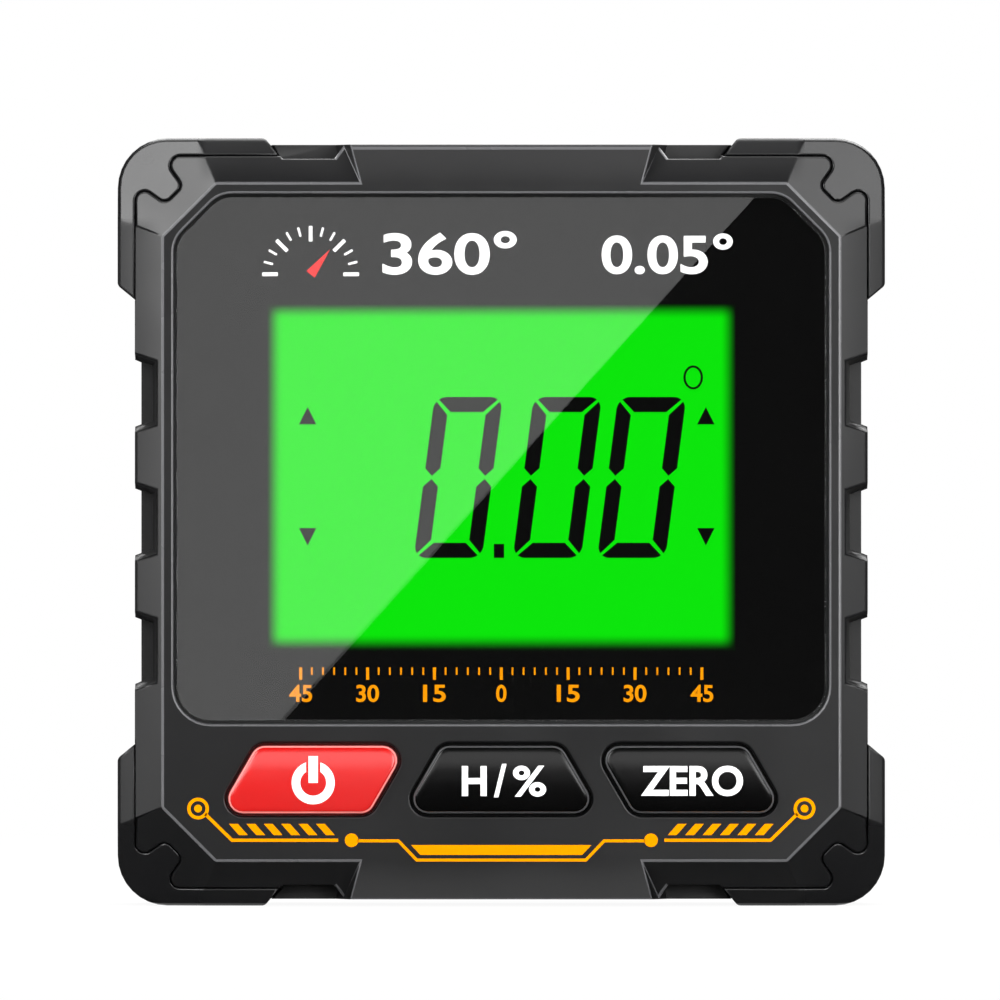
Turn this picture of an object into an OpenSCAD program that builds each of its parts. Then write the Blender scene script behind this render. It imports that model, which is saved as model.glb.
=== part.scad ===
// A pocket digital angle gauge: a square two-part case with four corner guards,
// a backlit liquid-crystal display behind a flat lens, three keys, a magnetic
// base and a sliding battery door. X runs to the right, Y from front to back
// and Z up. The origin lies on the ground under the middle of the gauge.

/* [Overall] */
// Width across the corner guards
overall_w = 62; // [60:0.5:70]
// Height across the corner guards
overall_h = 62; // [60:0.5:70]
// Depth from the front face to the back, without the keys
overall_d = 27; // [26:0.5:32]

/* [Case] */
// Thickness of the side walls
wall = 2.2; // [2:0.1:2.5]
// Thickness of the front wall
front_wall = 2.3; // [2.2:0.1:2.8]
// Thickness of the back wall and of the battery door
back_wall = 1.8; // [1.6:0.1:2.4]
// Depth of the front case, from the front face to the parting line
front_case_depth = 8.5; // [8:0.1:10]
// Slope of the bevel around the front face, in degrees
bevel_angle = 30; // [22:1:34]
// Distance from the outside of the guards to the ridge of the front face
ridge_inset = 3.65; // [3.2:0.05:4]
// Length cut off each corner of the front face, along both edges
ridge_chamfer = 4.3; // [3.5:0.1:5]
// Chamfer around the back edge
back_chamfer = 1.2; // [0.8:0.1:1.6]

/* [Centre tabs and edge pockets] */
// Width of the centre tabs where they leave the front face
tab_ridge_w = 22.7; // [18:0.1:24]
// Width of the centre tabs at the edge of the case
tab_edge_w = 24.4; // [20:0.1:25]
// Draft of the tab sides, in degrees
tab_draft = 17; // [8:1:24]
// Height of the pockets beside the tabs
pocket_h = 1.15; // [0.8:0.05:1.2]
// Depth of the pocket floor below the front face
pocket_floor = 4; // [3:0.1:5]

/* [Side grips] */
// Number of grip notches on each side
grip_count = 3; // [1:1:3]
// Distance between grip notches
grip_pitch = 10.4; // [8:0.1:11]
// Length of a grip notch at the side of the case
grip_len = 5.4; // [4:0.1:6.5]
// Depth of a grip notch along the whole side
grip_depth = 0.5; // [0.3:0.05:0.7]
// Depth of the step cut into the front bevel at a notch
grip_step = 1.35; // [1:0.05:1.4]
// Depth of the step floor below the front face
grip_floor = 4.5; // [3:0.1:6]
// Slope of the ends of a notch, run per unit of depth
grip_lean = 0.4; // [0.2:0.05:0.6]
// Widening of the step towards the front
grip_draft = 0.6; // [0.2:0.05:0.8]

/* [Corner guards] */
// Thickness of the guards
guard_t = 1.4; // [1.2:0.05:1.5]
// Height of the guards above the top and bottom of the case
guard_step = 0.53; // [0.3:0.01:0.8]
// Outer corner radius of the guards
guard_r = 4; // [3:0.1:5]
// Length of a guard arm at its outside
guard_arm = 11.9; // [10:0.1:13]
// Slope of the arm ends, run per unit of thickness
guard_end_run = 0.82; // [0:0.02:1]
// Distance from the outside to the neck behind the guard's nose
guard_neck = 3.5; // [3:0.05:4]
// Longer distance from the outside to a nose corner
guard_nose_far = 5.25; // [4.8:0.05:5.6]
// Shorter distance from the outside to a nose corner
guard_nose_near = 3.87; // [3.6:0.01:4.2]
// Radius in the necks
guard_neck_r = 0.8; // [0.5:0.05:1]
// Radius on the nose corners
guard_nose_r = 0.65; // [0.3:0.05:0.8]
// Clearance along the seam between guard and case
guard_seam = 0.06; // [0.04:0.01:0.1]

/* [Window] */
// Distance from the ridge of the front face to the sides of the lens
lens_side = 1.15; // [0.9:0.05:2.5]
// Distance from the ridge of the front face to the top of the lens
lens_top = 1.1; // [0.9:0.05:2.5]
// Distance from the keys up to the lens
lens_above_keys = 2; // [1.8:0.05:3]
// Length cut off the upper corners of the lens
lens_chamfer = 3.55; // [3:0.05:6]
// Radius on the cut corners of the lens
lens_chamfer_r = 2.2; // [1:0.1:4]
// Radius of the lower corners of the lens
lens_corner_r = 2.75; // [1.5:0.05:4]
// Thickness of the lens
lens_t = 1; // [0.8:0.05:1.1]
// Depth of the lens below the front face
lens_sink = 0.35; // [0.2:0.05:0.4]
// Gap around the lens
lens_gap = 0.25; // [0.1:0.05:0.3]
// Thickness of the adhesive mask behind the lens
mask_t = 0.1; // [0.05:0.05:0.2]

/* [Display] */
// Distance from the sides of the lens to the visible display area
view_side = 7.8; // [7:0.1:10]
// Distance from the top of the lens to the visible display area
view_top = 9.15; // [8:0.05:12]
// Distance from the bottom of the lens to the visible display area
view_bottom = 6.15; // [5.8:0.05:9]
// Margin of the mask opening around the visible area
mask_margin = 0.5; // [0.2:0.1:0.8]
// Margin of the display glass around the visible area
glass_margin = 3; // [2.2:0.1:3.2]
// Thickness of the display glass
glass_t = 2; // [1.8:0.1:2.4]
// Thickness of the backlight panel
light_t = 2; // [1.8:0.1:2.4]
// Wall of the display frame
frame_t = 1.2; // [0.8:0.1:1.3]
// Height of the connector strip under the display glass
strip_h = 2; // [1.5:0.1:2.4]
// Width of a backlight lamp
lamp_w = 1.2; // [0.8:0.1:1.4]
// Length of a backlight lamp
lamp_len = 3; // [2:0.1:4]
// Height of a backlight lamp
lamp_h = 1.6; // [1:0.1:2]

/* [Keys] */
// Height of the keys
key_h = 5.5; // [4.5:0.1:6]
// Distance from the ridge of the front face to the ends of the key row
key_side = 6; // [5.8:0.05:8]
// Mean width of the middle key
mode_key_w = 12.85; // [10:0.05:13]
// Distance between neighbouring keys
key_spacing = 2.65; // [2.2:0.05:3.4]
// Slant of the key sides, in degrees
key_slant = 30; // [15:1:34]
// Height of the middle of the keys above the ground
key_z = 10.2; // [9.8:0.1:10.6]
// Corner radius of the keys
key_r = 1.2; // [0.6:0.1:1.5]
// Height of the keys above the front face
key_proud = 0.9; // [0.7:0.05:1.2]
// Height and width of the sloping rim on the keys
key_rim = 0.4; // [0.2:0.05:0.5]
// Travel of the keys
key_travel = 0.5; // [0.3:0.05:0.5]
// Clearance around the keys
key_clear = 0.2; // [0.2:0.05:0.35]
// Width of the key flange behind the front wall
flange_w = 0.55; // [0.45:0.05:0.6]
// Thickness of the key flange
flange_t = 0.8; // [0.6:0.1:0.9]
// Diameter of the key stem
stem_d = 2.8; // [2:0.1:3]
// Side of the switch body
switch_w = 4.5; // [4:0.1:5]
// Height of the switch body
switch_h = 2; // [1.8:0.1:2]
// Diameter of the switch plunger
plunger_d = 2.4; // [1.6:0.1:2.6]
// Height of the plunger above the switch body
plunger_rise = 0.7; // [0.6:0.05:0.8]

/* [Board] */
// Thickness of the main board
board_t = 1.2; // [1:0.1:1.6]
// Clearance of the main board from the side walls
board_gap = 0.4; // [0.3:0.05:0.6]
// Distance of the board's ends from the top and bottom walls
board_end = 2.1; // [1:0.1:2.4]
// Distance of the board screws from the board's shoulders
board_screw_in = 6; // [3:0.5:10]
// Distance of the board screws from the sides of the board
board_screw_side = 2; // [1.8:0.1:2.2]
// Side of the controller chip
chip_w = 10; // [7:0.5:12]
// Height of the controller chip
chip_h = 1.2; // [0.8:0.1:1.6]
// Side of the tilt sensor
sensor_w = 4; // [2:0.5:5]
// Height of the tilt sensor
sensor_h = 1; // [0.7:0.1:1.2]
// Width of the crystal
crystal_w = 3.6; // [3:0.1:4.5]
// Length of the crystal
crystal_len = 9; // [6:0.1:11]
// Height of the crystal
crystal_h = 1.4; // [1:0.1:2]
// Width of a chip capacitor
cap_w = 1.2; // [0.8:0.1:1.6]
// Length of a chip capacitor
cap_len = 2; // [1.6:0.1:3.2]
// Height of a chip capacitor
cap_h = 0.9; // [0.6:0.1:1.2]
// Distance between chip capacitors
cap_pitch = 2.6; // [2:0.1:3.2]

/* [Battery] */
// Diameter of a cell
cell_d = 10.4; // [10:0.1:10.5]
// Length of a cell with its positive cap
cell_len = 44.5; // [44:0.1:44.6]
// Clearance around the cells
cell_clear = 0.4; // [0.3:0.05:0.5]
// Length of a contact spring under load
spring_len = 3.4; // [3:0.1:4]
// Wire diameter of the contact springs
spring_wire = 0.6; // [0.5:0.05:0.7]
// Thickness of the contact plates
contact_t = 0.4; // [0.3:0.05:0.5]
// Width of the contact plates
contact_w = 9; // [7:0.1:9.6]
// Height of the raised boss on a positive contact
contact_boss = 0.7; // [0.5:0.05:1]
// Diameter of the raised boss at its foot
boss_foot_d = 4.8; // [4:0.1:5.5]
// Diameter of the raised boss at its top
boss_top_d = 3.2; // [2.4:0.1:3.6]
// Width of the tails that join the contacts to the board
tail_w = 2; // [1.5:0.1:3]
// Diameter of a cell's positive cap
cap_d = 3.8; // [3.4:0.1:4]
// Height of a cell's positive cap
cap_rise = 0.9; // [0.8:0.1:1.2]
// Mean diameter of a contact spring at its foot
spring_foot_d = 7.2; // [6:0.1:8]
// Mean diameter of a contact spring at its tip
spring_tip_d = 4; // [3:0.1:5]
// Wall of the battery compartment
bay_wall = 1.2; // [1:0.1:1.4]

/* [Battery door] */
// Overlap of the door's tongues and the case's lips
tongue_w = 1; // [0.7:0.1:1.4]
// Thickness of the tongues
tongue_t = 0.8; // [0.6:0.05:0.9]
// Sliding clearance of the door
slide_gap = 0.12; // [0.08:0.01:0.15]
// Width of the thumb recess
thumb_w = 15; // [10:0.5:18]
// Height of the thumb recess
thumb_h = 10; // [8:0.5:14]
// Depth of the thumb recess
thumb_depth = 0.6; // [0.4:0.05:0.8]
// Number of ribs in the thumb recess
thumb_ribs = 4; // [2:1:5]
// Width of the arrow above the thumb recess
arrow_w = 6; // [4:0.5:8]
// Height of the arrow
arrow_h = 4; // [3:0.5:5]
// Depth of the arrow
arrow_depth = 0.4; // [0.3:0.05:0.6]

/* [Magnets] */
// Diameter of the base magnets
magnet_d = 10; // [8:0.1:11]
// Thickness of plastic between the base magnets and the battery bay
magnet_cover = 0.9; // [0.6:0.1:1.6]
// Distance of the magnets from the guards
magnet_edge = 0.8; // [0.6:0.1:4]
// Clearance around the magnets
magnet_clear = 0.06; // [0.04:0.01:0.1]

/* [Fixings] */
// Diameter of the screw threads
screw_d = 2; // [1.8:0.1:2.2]
// Diameter of the screw heads
screw_head_d = 3.6; // [3.2:0.1:3.8]
// Height of the screw heads
screw_head_h = 1.4; // [1:0.1:1.6]
// Width of the cross slots in the screw heads
screw_slot = 0.5; // [0.4:0.05:0.6]
// Clearance around threads and heads
screw_clear = 0.1; // [0.05:0.05:0.15]
// Depth of the case screw heads below the back face
screw_sink = 12; // [8:0.5:13]
// Thread length of the case screws in the front posts
screw_bite = 4; // [3:0.1:5]
// Thread length of the board screws in their bosses
board_bite = 3; // [2.5:0.1:3.5]
// Wall around the screw holes in the posts
post_wall = 0.8; // [0.7:0.05:1]
// Height of the lower case posts above the ground
post_z = 9.5; // [9:0.1:11]

/* [Hidden] */
// how much longer a notch's step is than its groove, at the step's floor
grip_spare = 0.1;
$fn = 64;

front_y = (key_proud - overall_d) / 2;
mid_z = overall_h / 2;
half_w = overall_w / 2;
case_w = overall_w - 2 * guard_t;
case_h = overall_h - 2 * guard_step;
case_low = guard_step;
case_top = overall_h - guard_step;
inner_w = case_w - 2 * wall;
inner_h = case_h - 2 * wall;
far = 2 * (overall_w + overall_h);

// front face
ridge_w = overall_w - 2 * ridge_inset;
ridge_h = overall_h - 2 * ridge_inset;
ridge_sum = 2 * ridge_inset + ridge_chamfer;

// hollow corners, kept clear of the guards' skins
skin_sum = 2 * (guard_r - (guard_r - guard_t) / sqrt(2));
skin_depth = guard_t + (ridge_sum - skin_sum) / sqrt(2) * tan(bevel_angle);
corner_wall = 1.3;
inner_sum = guard_t + guard_step + 2 * wall;
corner_deep = ridge_sum + corner_wall - inner_sum + 0.3;
corner_mid = skin_sum + corner_wall * sqrt(2) - inner_sum + 0.4;
corner_from = skin_depth + corner_wall;
corner_to = overall_d - guard_t - back_chamfer - corner_wall;

// keys
key_row_w = ridge_w - 2 * key_side;
side_key_w = (key_row_w - mode_key_w) / 2 - key_spacing;
side_key_x = mode_key_w / 2 + key_spacing + side_key_w / 2;

// window and display, counted in depth from the front face
lens_w = ridge_w - 2 * lens_side;
lens_z = key_z + key_h / 2 + lens_above_keys;
lens_h = overall_h - ridge_inset - lens_top - lens_z;
lens_seat = lens_sink + lens_t + mask_t;
view_w = lens_w - 2 * view_side;
view_h = lens_h - view_top - view_bottom;
view_z = lens_z + view_bottom + view_h / 2;
glass_w = view_w + 2 * glass_margin;
glass_h = view_h + 2 * glass_margin;
glass_low = view_z - glass_h / 2;
frame_gap = 0.15;
frame_w = glass_w + 2 * (frame_gap + frame_t);
frame_h = glass_h + 2 * (frame_gap + frame_t);
light_from = front_wall + glass_t;
board_front = light_from + light_t + 0.1;
board_back = board_front + board_t;
light_w = glass_w - 2 * (lamp_w + 0.4);
strip_low = glass_low + 0.3;
light_low = strip_low + strip_h + 0.4;
light_high = view_z + glass_h / 2 - 0.2;

// key depths
flange_from = front_wall + 0.1;
flange_to = flange_from + flange_t;
switch_front = board_front - switch_h;
plunger_front = switch_front - plunger_rise;
plunger_len = plunger_rise + 0.8;

// board and its screws
post_x = case_w / 2 - wall - 2;
front_post_r = screw_d / 2 + screw_clear + post_wall + 0.2;
rear_post_r = screw_head_d / 2 + screw_clear + post_wall;
post_high = overall_h - post_z;
board_wide = inner_w - 2 * board_gap;
board_narrow = 2 * (post_x - front_post_r - 0.3);
board_low = case_low + wall + board_end;
board_high = case_top - wall - board_end;
shoulder_low = post_z + front_post_r + 0.8;
shoulder_high = post_high - front_post_r - 0.8;
board_screw_x = board_wide / 2 - board_screw_side;
board_screw_low = shoulder_low + board_screw_in;
board_screw_high = shoulder_high - board_screw_in;
boss_r = screw_d / 2 + post_wall;

// battery bay
cell_pitch = cell_d + cell_clear;
cell_x = cell_pitch / 2;
bay_w = 2 * cell_pitch + cell_clear;
bay_len = cell_len + spring_len + contact_boss + 2 * contact_t;
bay_low = mid_z - bay_len / 2;
bay_high = mid_z + bay_len / 2;
door_from = overall_d - back_wall;
cell_depth = door_from - cell_clear - cell_d / 2;
bay_floor = cell_depth - cell_d / 2 - cell_clear;

// battery door
door_w = bay_w + 2 * bay_wall;
door_low = bay_low - bay_wall;
tongue_to = door_from + tongue_t;
shelf_from = door_from - slide_gap - 1.1;
rail_w = door_w + 2 * (tongue_w + slide_gap);
thumb_low = door_low + 8;
arrow_low = thumb_low + thumb_h + 3;

// case screws
head_at = overall_d - screw_sink;
thread_from = front_case_depth - screw_bite;

// magnets, between the guards on the rear case's underside and below the battery bay
magnet_t = bay_low - bay_wall - magnet_cover - case_low;
magnet_boss_h = max(wall, magnet_t + magnet_cover) - wall + 0.45;
magnet_x = half_w - guard_arm - guard_end_run * guard_t - magnet_edge - magnet_d / 2;
magnet_y = front_y + (front_case_depth + overall_d) / 2;

// Outlines

// the plane coordinates of an outline point
function flat(p) = [p[0], p[1]];

// a vector of length one
function unit(v) = v / norm(v);

// the outward normal of an edge of an anticlockwise outline
function outward(a, b) = unit([b[1] - a[1], a[0] - b[0]]);

// the points of an arc of radius b[2] that rounds corner b
function arc_at(a, b, c, steps) =
    let (p = flat(b))
    let (u = unit(flat(a) - p))
    let (v = unit(flat(c) - p))
    let (half = acos(u * v) / 2)
    let (m = p + unit(u + v) * b[2] / sin(half))
    let (s = p + u * b[2] / tan(half) - m)
    let (e = p + v * b[2] / tan(half) - m)
    let (from = atan2(s[1], s[0]))
    let (turn = (atan2(e[1], e[0]) - from + 540) % 360 - 180)
    [for (i = [0:steps]) m + b[2] * [cos(from + turn * i / steps), sin(from + turn * i / steps)]];

// an outline of [x, z, radius] corners with its corners rounded
function rounded(p, steps = 8) =
    let (n = len(p))
    [for (i = [0:n - 1])
        for (q = p[i][2] > 0 ? arc_at(p[(i + n - 1) % n], p[i], p[(i + 1) % n], steps) : [flat(p[i])])
            q];

// the same outline moved outwards by d
function grown(p, d) =
    let (n = len(p))
    [for (i = [0:n - 1])
        let (a = flat(p[(i + n - 1) % n]))
        let (b = flat(p[i]))
        let (c = flat(p[(i + 1) % n]))
        let (s = outward(a, b))
        let (t = outward(b, c))
        let (q = b + (s + t) * d / (1 + s * t))
        let (convex = cross(b - a, c - b) > 0)
        [q[0], q[1], p[i][2] > 0 ? p[i][2] + (convex ? d : -d) : 0]];

// a rectangle of width w and height h about [x, z]
function box_points(x, z, w, h, r) =
    [[x - w / 2, z - h / 2, r], [x + w / 2, z - h / 2, r],
     [x + w / 2, z + h / 2, r], [x - w / 2, z + h / 2, r]];

// the lens, cut at its upper corners
lens_points =
    [[-lens_w / 2, lens_z, lens_corner_r],
     [lens_w / 2, lens_z, lens_corner_r],
     [lens_w / 2, lens_z + lens_h - lens_chamfer, lens_chamfer_r],
     [lens_w / 2 - lens_chamfer, lens_z + lens_h, lens_chamfer_r],
     [-lens_w / 2 + lens_chamfer, lens_z + lens_h, lens_chamfer_r],
     [-lens_w / 2, lens_z + lens_h - lens_chamfer, lens_chamfer_r]];

// a key about x, with the lean of its left and right sides
function key_points(x, w, left, right) =
    let (s = key_h * tan(key_slant) / 2)
    [[x - w / 2 - left * s, key_z - key_h / 2, key_r],
     [x + w / 2 - right * s, key_z - key_h / 2, key_r],
     [x + w / 2 + right * s, key_z + key_h / 2, key_r],
     [x - w / 2 + left * s, key_z + key_h / 2, key_r]];

power_points = key_points(-side_key_x, side_key_w, 1, 1);
mode_points = key_points(0, mode_key_w, 1, -1);
zero_points = key_points(side_key_x, side_key_w, -1, -1);

// a guard in distances from the outer corner: two arms and a waisted nose
guard_points =
    [[-1, -1, 0],
     [guard_arm - guard_end_run, -1, 0],
     [guard_arm + guard_end_run * guard_t, guard_t, 0],
     [guard_neck, guard_t, guard_neck_r],
     [guard_nose_far, guard_nose_near, guard_nose_r],
     [guard_nose_near, guard_nose_far, guard_nose_r],
     [guard_t, guard_neck, guard_neck_r],
     [guard_t, guard_arm + guard_end_run * guard_t, 0],
     [-1, guard_arm - guard_end_run, 0]];

// Solids

// an outline in X and Z, extruded between two depths below the front face
module slab(from, to)
    translate([0, front_y + to, 0])
        rotate([90, 0, 0])
            linear_extrude(to - from)
                children();

// a rectangular slab about [x, z]
module bar(x, z, w, h, from, to)
    slab(from, to)
        polygon(rounded(box_points(x, z, w, h, 0)));

// a round rod along the depth
module rod(x, z, r, from, to)
    translate([x, front_y + from, z])
        rotate([-90, 0, 0])
            cylinder(h = to - from, r = r);

// a block with rounded corners and a chamfered back edge
module block(w, h, r, to)
    hull() {
        slab(-1, to - back_chamfer)
            polygon(rounded(box_points(0, mid_z, w, h, r)));
        slab(to - 0.02, to)
            polygon(rounded(grown(box_points(0, mid_z, w, h, r), -back_chamfer)));
    }

// everything in front of the front face and its bevels, moved back by shift
module front_cut(shift) {
    translate([-far / 2, front_y + shift - far, -far / 2])
        cube(far);
    for (k = [0:7]) {
        square_on = k % 4 == 0 ? ridge_w / 2 : ridge_h / 2;
        across = k % 2 == 0 ? square_on : (ridge_w + ridge_h - 2 * ridge_chamfer) / sqrt(8);
        translate([0, front_y + shift, mid_z])
            rotate([0, 45 * k, 0])
                translate([across, 0, 0])
                    rotate([0, 0, bevel_angle])
                        translate([0, -far, -far / 2])
                            cube(far);
    }
}

// the region of one guard, grown by d
module guard_region(sx, sz, d)
    slab(-2, overall_d + 1)
        polygon([for (p = rounded(grown(guard_points, d)))
            [sx * (half_w - p[0]), mid_z + sz * (overall_h / 2 - p[1])]]);

// the inside of the guards' skins
module guard_core()
    difference() {
        block(case_w, overall_h - 2 * guard_t, guard_r - guard_t, overall_d - guard_t);
        front_cut(guard_t);
    }

module corner_guard(sx, sz)
    color("#3c3c3c")
        difference() {
            intersection() {
                block(overall_w, overall_h, guard_r, overall_d);
                guard_region(sx, sz, 0);
            }
            front_cut(0);
            guard_core();
        }

// one pocket beside a centre tab, on side sx and end sz
module edge_pocket(sx, sz) {
    rise = pocket_h;
    out = guard_arm + guard_end_run * guard_step + guard_seam;
    start = tab_edge_w / 2 + 0.4;
    slab(-2, pocket_floor)
        polygon([for (p = [[start - 0.75, -1],
                           [half_w - out + guard_end_run, -1],
                           [half_w - out - guard_end_run * rise, rise],
                           [start + 0.75 * rise, rise]])
            [sx * p[0], mid_z + sz * (case_h / 2 - p[1])]]);
}

// the outline of a grip notch in the side of the case, grown by d: [depth, height] of each corner
function grip_corners(depth, d) =
    [for (p = [[-1, -1], [-1, 1], [depth + 0.7 * d, 1], [depth + 0.7 * d, -1]])
        [p[0], p[1] * (grip_len / 2 - grip_lean * p[0] + d)]];

// a grip notch through the whole depth of the case
module grip_groove(sx, z)
    slab(-2, overall_d + 1)
        polygon([for (p = grip_corners(grip_depth, 0)) [sx * (case_w / 2 - p[0]), z + p[1]]]);

// the deeper step at the front of a grip notch, whose walls spread towards the front
module grip_cut(sx, z)
    mirror([sx < 0 ? 1 : 0, 0, 0])
        polyhedron(
            [for (g = [0, 1])
                for (p = grip_corners(grip_step, g == 0 ? grip_draft : grip_spare))
                    [case_w / 2 - p[0], front_y + g * grip_floor, z + p[1]]],
            concat([[3, 2, 1, 0], [4, 5, 6, 7]],
                   [for (i = [0:3]) [i, (i + 1) % 4, (i + 1) % 4 + 4, i + 4]]));

// a centre tab that carries the front face out to the edge
module centre_tab(sz) {
    spread = pocket_floor * tan(tab_draft);
    run = ridge_inset - guard_step;
    wide = tab_edge_w / 2;
    thin = tab_ridge_w / 2 - (tab_edge_w - tab_ridge_w) / 2 / run;
    hull()
        for (g = [0, 1])
            slab(g * (pocket_floor - 0.02), g * (pocket_floor - 0.02) + 0.02)
                polygon([for (p = [[-wide - g * spread, 0], [wide + g * spread, 0],
                                   [thin + g * spread, run + 1], [-thin - g * spread, run + 1]])
                    [p[0], mid_z + sz * (case_h / 2 - p[1])]]);
}

// the outside of the case; the rear part touches the guards and the front part leaves a seam
module case_blank(from, to) {
    intersection() {
        difference() {
            block(case_w, case_h, 0, overall_d);
            front_cut(0);
            for (sx = [-1, 1])
                for (sz = [-1, 1]) {
                    difference() {
                        guard_region(sx, sz, from > 0 ? 0 : guard_seam);
                        guard_core();
                    }
                    edge_pocket(sx, sz);
                }
            for (sx = [-1, 1])
                for (i = [0:grip_count - 1]) {
                    z = mid_z + (i - (grip_count - 1) / 2) * grip_pitch;
                    grip_groove(sx, z);
                    grip_cut(sx, z);
                }
        }
        bar(0, mid_z, far, far, from, to);
    }
}

// the hollow outline, with corners cut by c
module hollow(from, to, c)
    slab(from, to)
        polygon([[-inner_w / 2 + c, mid_z - inner_h / 2], [inner_w / 2 - c, mid_z - inner_h / 2],
                 [inner_w / 2, mid_z - inner_h / 2 + c], [inner_w / 2, mid_z + inner_h / 2 - c],
                 [inner_w / 2 - c, mid_z + inner_h / 2], [-inner_w / 2 + c, mid_z + inner_h / 2],
                 [-inner_w / 2, mid_z + inner_h / 2 - c], [-inner_w / 2, mid_z - inner_h / 2 + c]]);

// at each of the four case posts
module at_posts()
    for (x = [-post_x, post_x])
        for (z = [post_z, post_high])
            translate([x, 0, z])
                children();

// at each of the four board screws
module at_board_screws()
    for (x = [-board_screw_x, board_screw_x])
        for (z = [board_screw_low, board_screw_high])
            translate([x, 0, z])
                children();

module front_case()
    color("#383838")
        difference() {
            union() {
                difference() {
                    case_blank(-1, front_case_depth);
                    hollow(front_wall, front_case_depth + 1, corner_deep);
                    hollow(corner_from, front_case_depth + 1, corner_mid);
                }
                centre_tab(1);
                centre_tab(-1);
                at_posts()
                    rod(0, 0, front_post_r, front_wall - 0.4, front_case_depth);
                at_board_screws()
                    rod(0, 0, boss_r, front_wall - 0.4, board_front);
            }
            slab(-2, lens_seat)
                polygon(rounded(grown(lens_points, lens_gap)));
            bar(0, view_z, view_w + 4 * mask_margin, view_h + 4 * mask_margin, -2, front_wall + 1);
            for (k = [power_points, mode_points, zero_points])
                slab(-2, front_wall + 1)
                    polygon(rounded(grown(k, key_clear)));
            at_posts()
                rod(0, 0, screw_d / 2 + 0.02, thread_from - 0.3, front_case_depth + 1);
            at_board_screws()
                rod(0, 0, screw_d / 2 + 0.02, board_front - board_bite - 0.3, board_front + 1);
        }

module rear_case()
    color("#303030")
        difference() {
            union() {
                difference() {
                    case_blank(front_case_depth, overall_d + 1);
                    hollow(front_case_depth - 1, corner_to, corner_mid);
                    hollow(front_case_depth - 1, overall_d - back_wall, corner_deep);
                }
                bar(0, mid_z, door_w, bay_len + 2 * bay_wall, bay_floor - bay_wall, door_from + 0.2);
                bar(0, (door_low - 1.5 + case_top - 0.4) / 2, rail_w + 2.4,
                    case_top - 0.4 - door_low + 1.5, shelf_from, door_from + 0.2);
                at_posts()
                    rod(0, 0, rear_post_r, front_case_depth, overall_d - 0.3);
                for (x = [-magnet_x, magnet_x])
                    translate([x, magnet_y, case_low + wall - 0.4])
                        cylinder(h = magnet_boss_h, d = magnet_d + 2 * bay_wall);
            }
            bar(0, mid_z, bay_w, bay_len, bay_floor, overall_d + 1);
            bar(0, (door_low - slide_gap + case_top + 5) / 2, door_w + 2 * slide_gap,
                case_top + 5 - door_low + slide_gap, door_from - slide_gap, overall_d + 1);
            bar(0, (door_low - slide_gap + case_top + 5) / 2, rail_w,
                case_top + 5 - door_low + slide_gap, door_from - slide_gap, tongue_to + slide_gap);
            for (x = [-cell_x, cell_x])
                bar(x, bay_high - contact_t / 2, tail_w + 0.3, contact_t + 0.2,
                    bay_floor - bay_wall - 1, bay_floor + 1);
            at_posts() {
                rod(0, 0, screw_head_d / 2 + screw_clear, head_at - screw_head_h, overall_d + 1);
                rod(0, 0, screw_d / 2 + screw_clear, front_case_depth - 1, overall_d);
            }
            for (x = [-magnet_x, magnet_x])
                translate([x, magnet_y, case_low - 1])
                    cylinder(h = magnet_t + 1.1, d = magnet_d + 2 * magnet_clear);
        }

module corner_guard_top_left() corner_guard(-1, 1);
module corner_guard_top_right() corner_guard(1, 1);
module corner_guard_bottom_left() corner_guard(-1, -1);
module corner_guard_bottom_right() corner_guard(1, -1);

module display_lens()
    color("#1a1a1a")
        slab(lens_sink, lens_sink + lens_t)
            polygon(rounded(lens_points));

module lens_mask()
    color("#0a0a0a")
        difference() {
            slab(lens_sink + lens_t, lens_seat)
                polygon(rounded(grown(lens_points, -0.1)));
            bar(0, view_z, view_w + 2 * mask_margin, view_h + 2 * mask_margin, lens_sink, front_wall);
        }

module display_glass()
    color("#00e600")
        bar(0, view_z, glass_w, glass_h, front_wall, light_from);

module display_frame()
    color("#e8e8e4")
        difference() {
            bar(0, view_z, frame_w, frame_h, front_wall + 0.1, board_front);
            bar(0, view_z, glass_w + 2 * frame_gap, glass_h + 2 * frame_gap, front_wall, board_front + 1);
        }

module backlight_panel()
    color("#dff5df")
        bar(0, (light_low + light_high) / 2, light_w, light_high - light_low,
            light_from, light_from + light_t);

module backlight_lamp()
    color("#f4f0c8")
        for (sx = [-1, 1])
            bar(sx * (light_w / 2 + 0.1 + lamp_w / 2), view_z, lamp_w, lamp_len,
                board_front - lamp_h, board_front);

module connector_strip()
    color("#c98a8a")
        bar(0, strip_low + strip_h / 2, view_w, strip_h, light_from, board_front);

module main_board()
    color("#1d5b34")
        difference() {
            slab(board_front, board_back)
                polygon([[-board_narrow / 2, board_low], [board_narrow / 2, board_low],
                         [board_narrow / 2, shoulder_low], [board_wide / 2, shoulder_low],
                         [board_wide / 2, shoulder_high], [board_narrow / 2, shoulder_high],
                         [board_narrow / 2, board_high], [-board_narrow / 2, board_high],
                         [-board_narrow / 2, shoulder_high], [-board_wide / 2, shoulder_high],
                         [-board_wide / 2, shoulder_low], [-board_narrow / 2, shoulder_low]]);
            at_board_screws()
                rod(0, 0, screw_d / 2 + screw_clear, board_front - 1, board_back + 1);
        }

module controller_chip()
    color("#161616")
        bar(0, view_z + chip_w / 2, chip_w, chip_w, board_back, board_back + chip_h);

module tilt_sensor()
    color("#8a8f94")
        bar(0, view_z - chip_w, sensor_w, sensor_w, board_back, board_back + sensor_h);

module board_crystal()
    color("#b9bcc0")
        slab(board_back, board_back + crystal_h)
            polygon(rounded(box_points(chip_w / 2 + 2 * crystal_w, view_z + chip_w / 2,
                                       crystal_w, crystal_len, 0.45 * crystal_w)));

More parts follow.
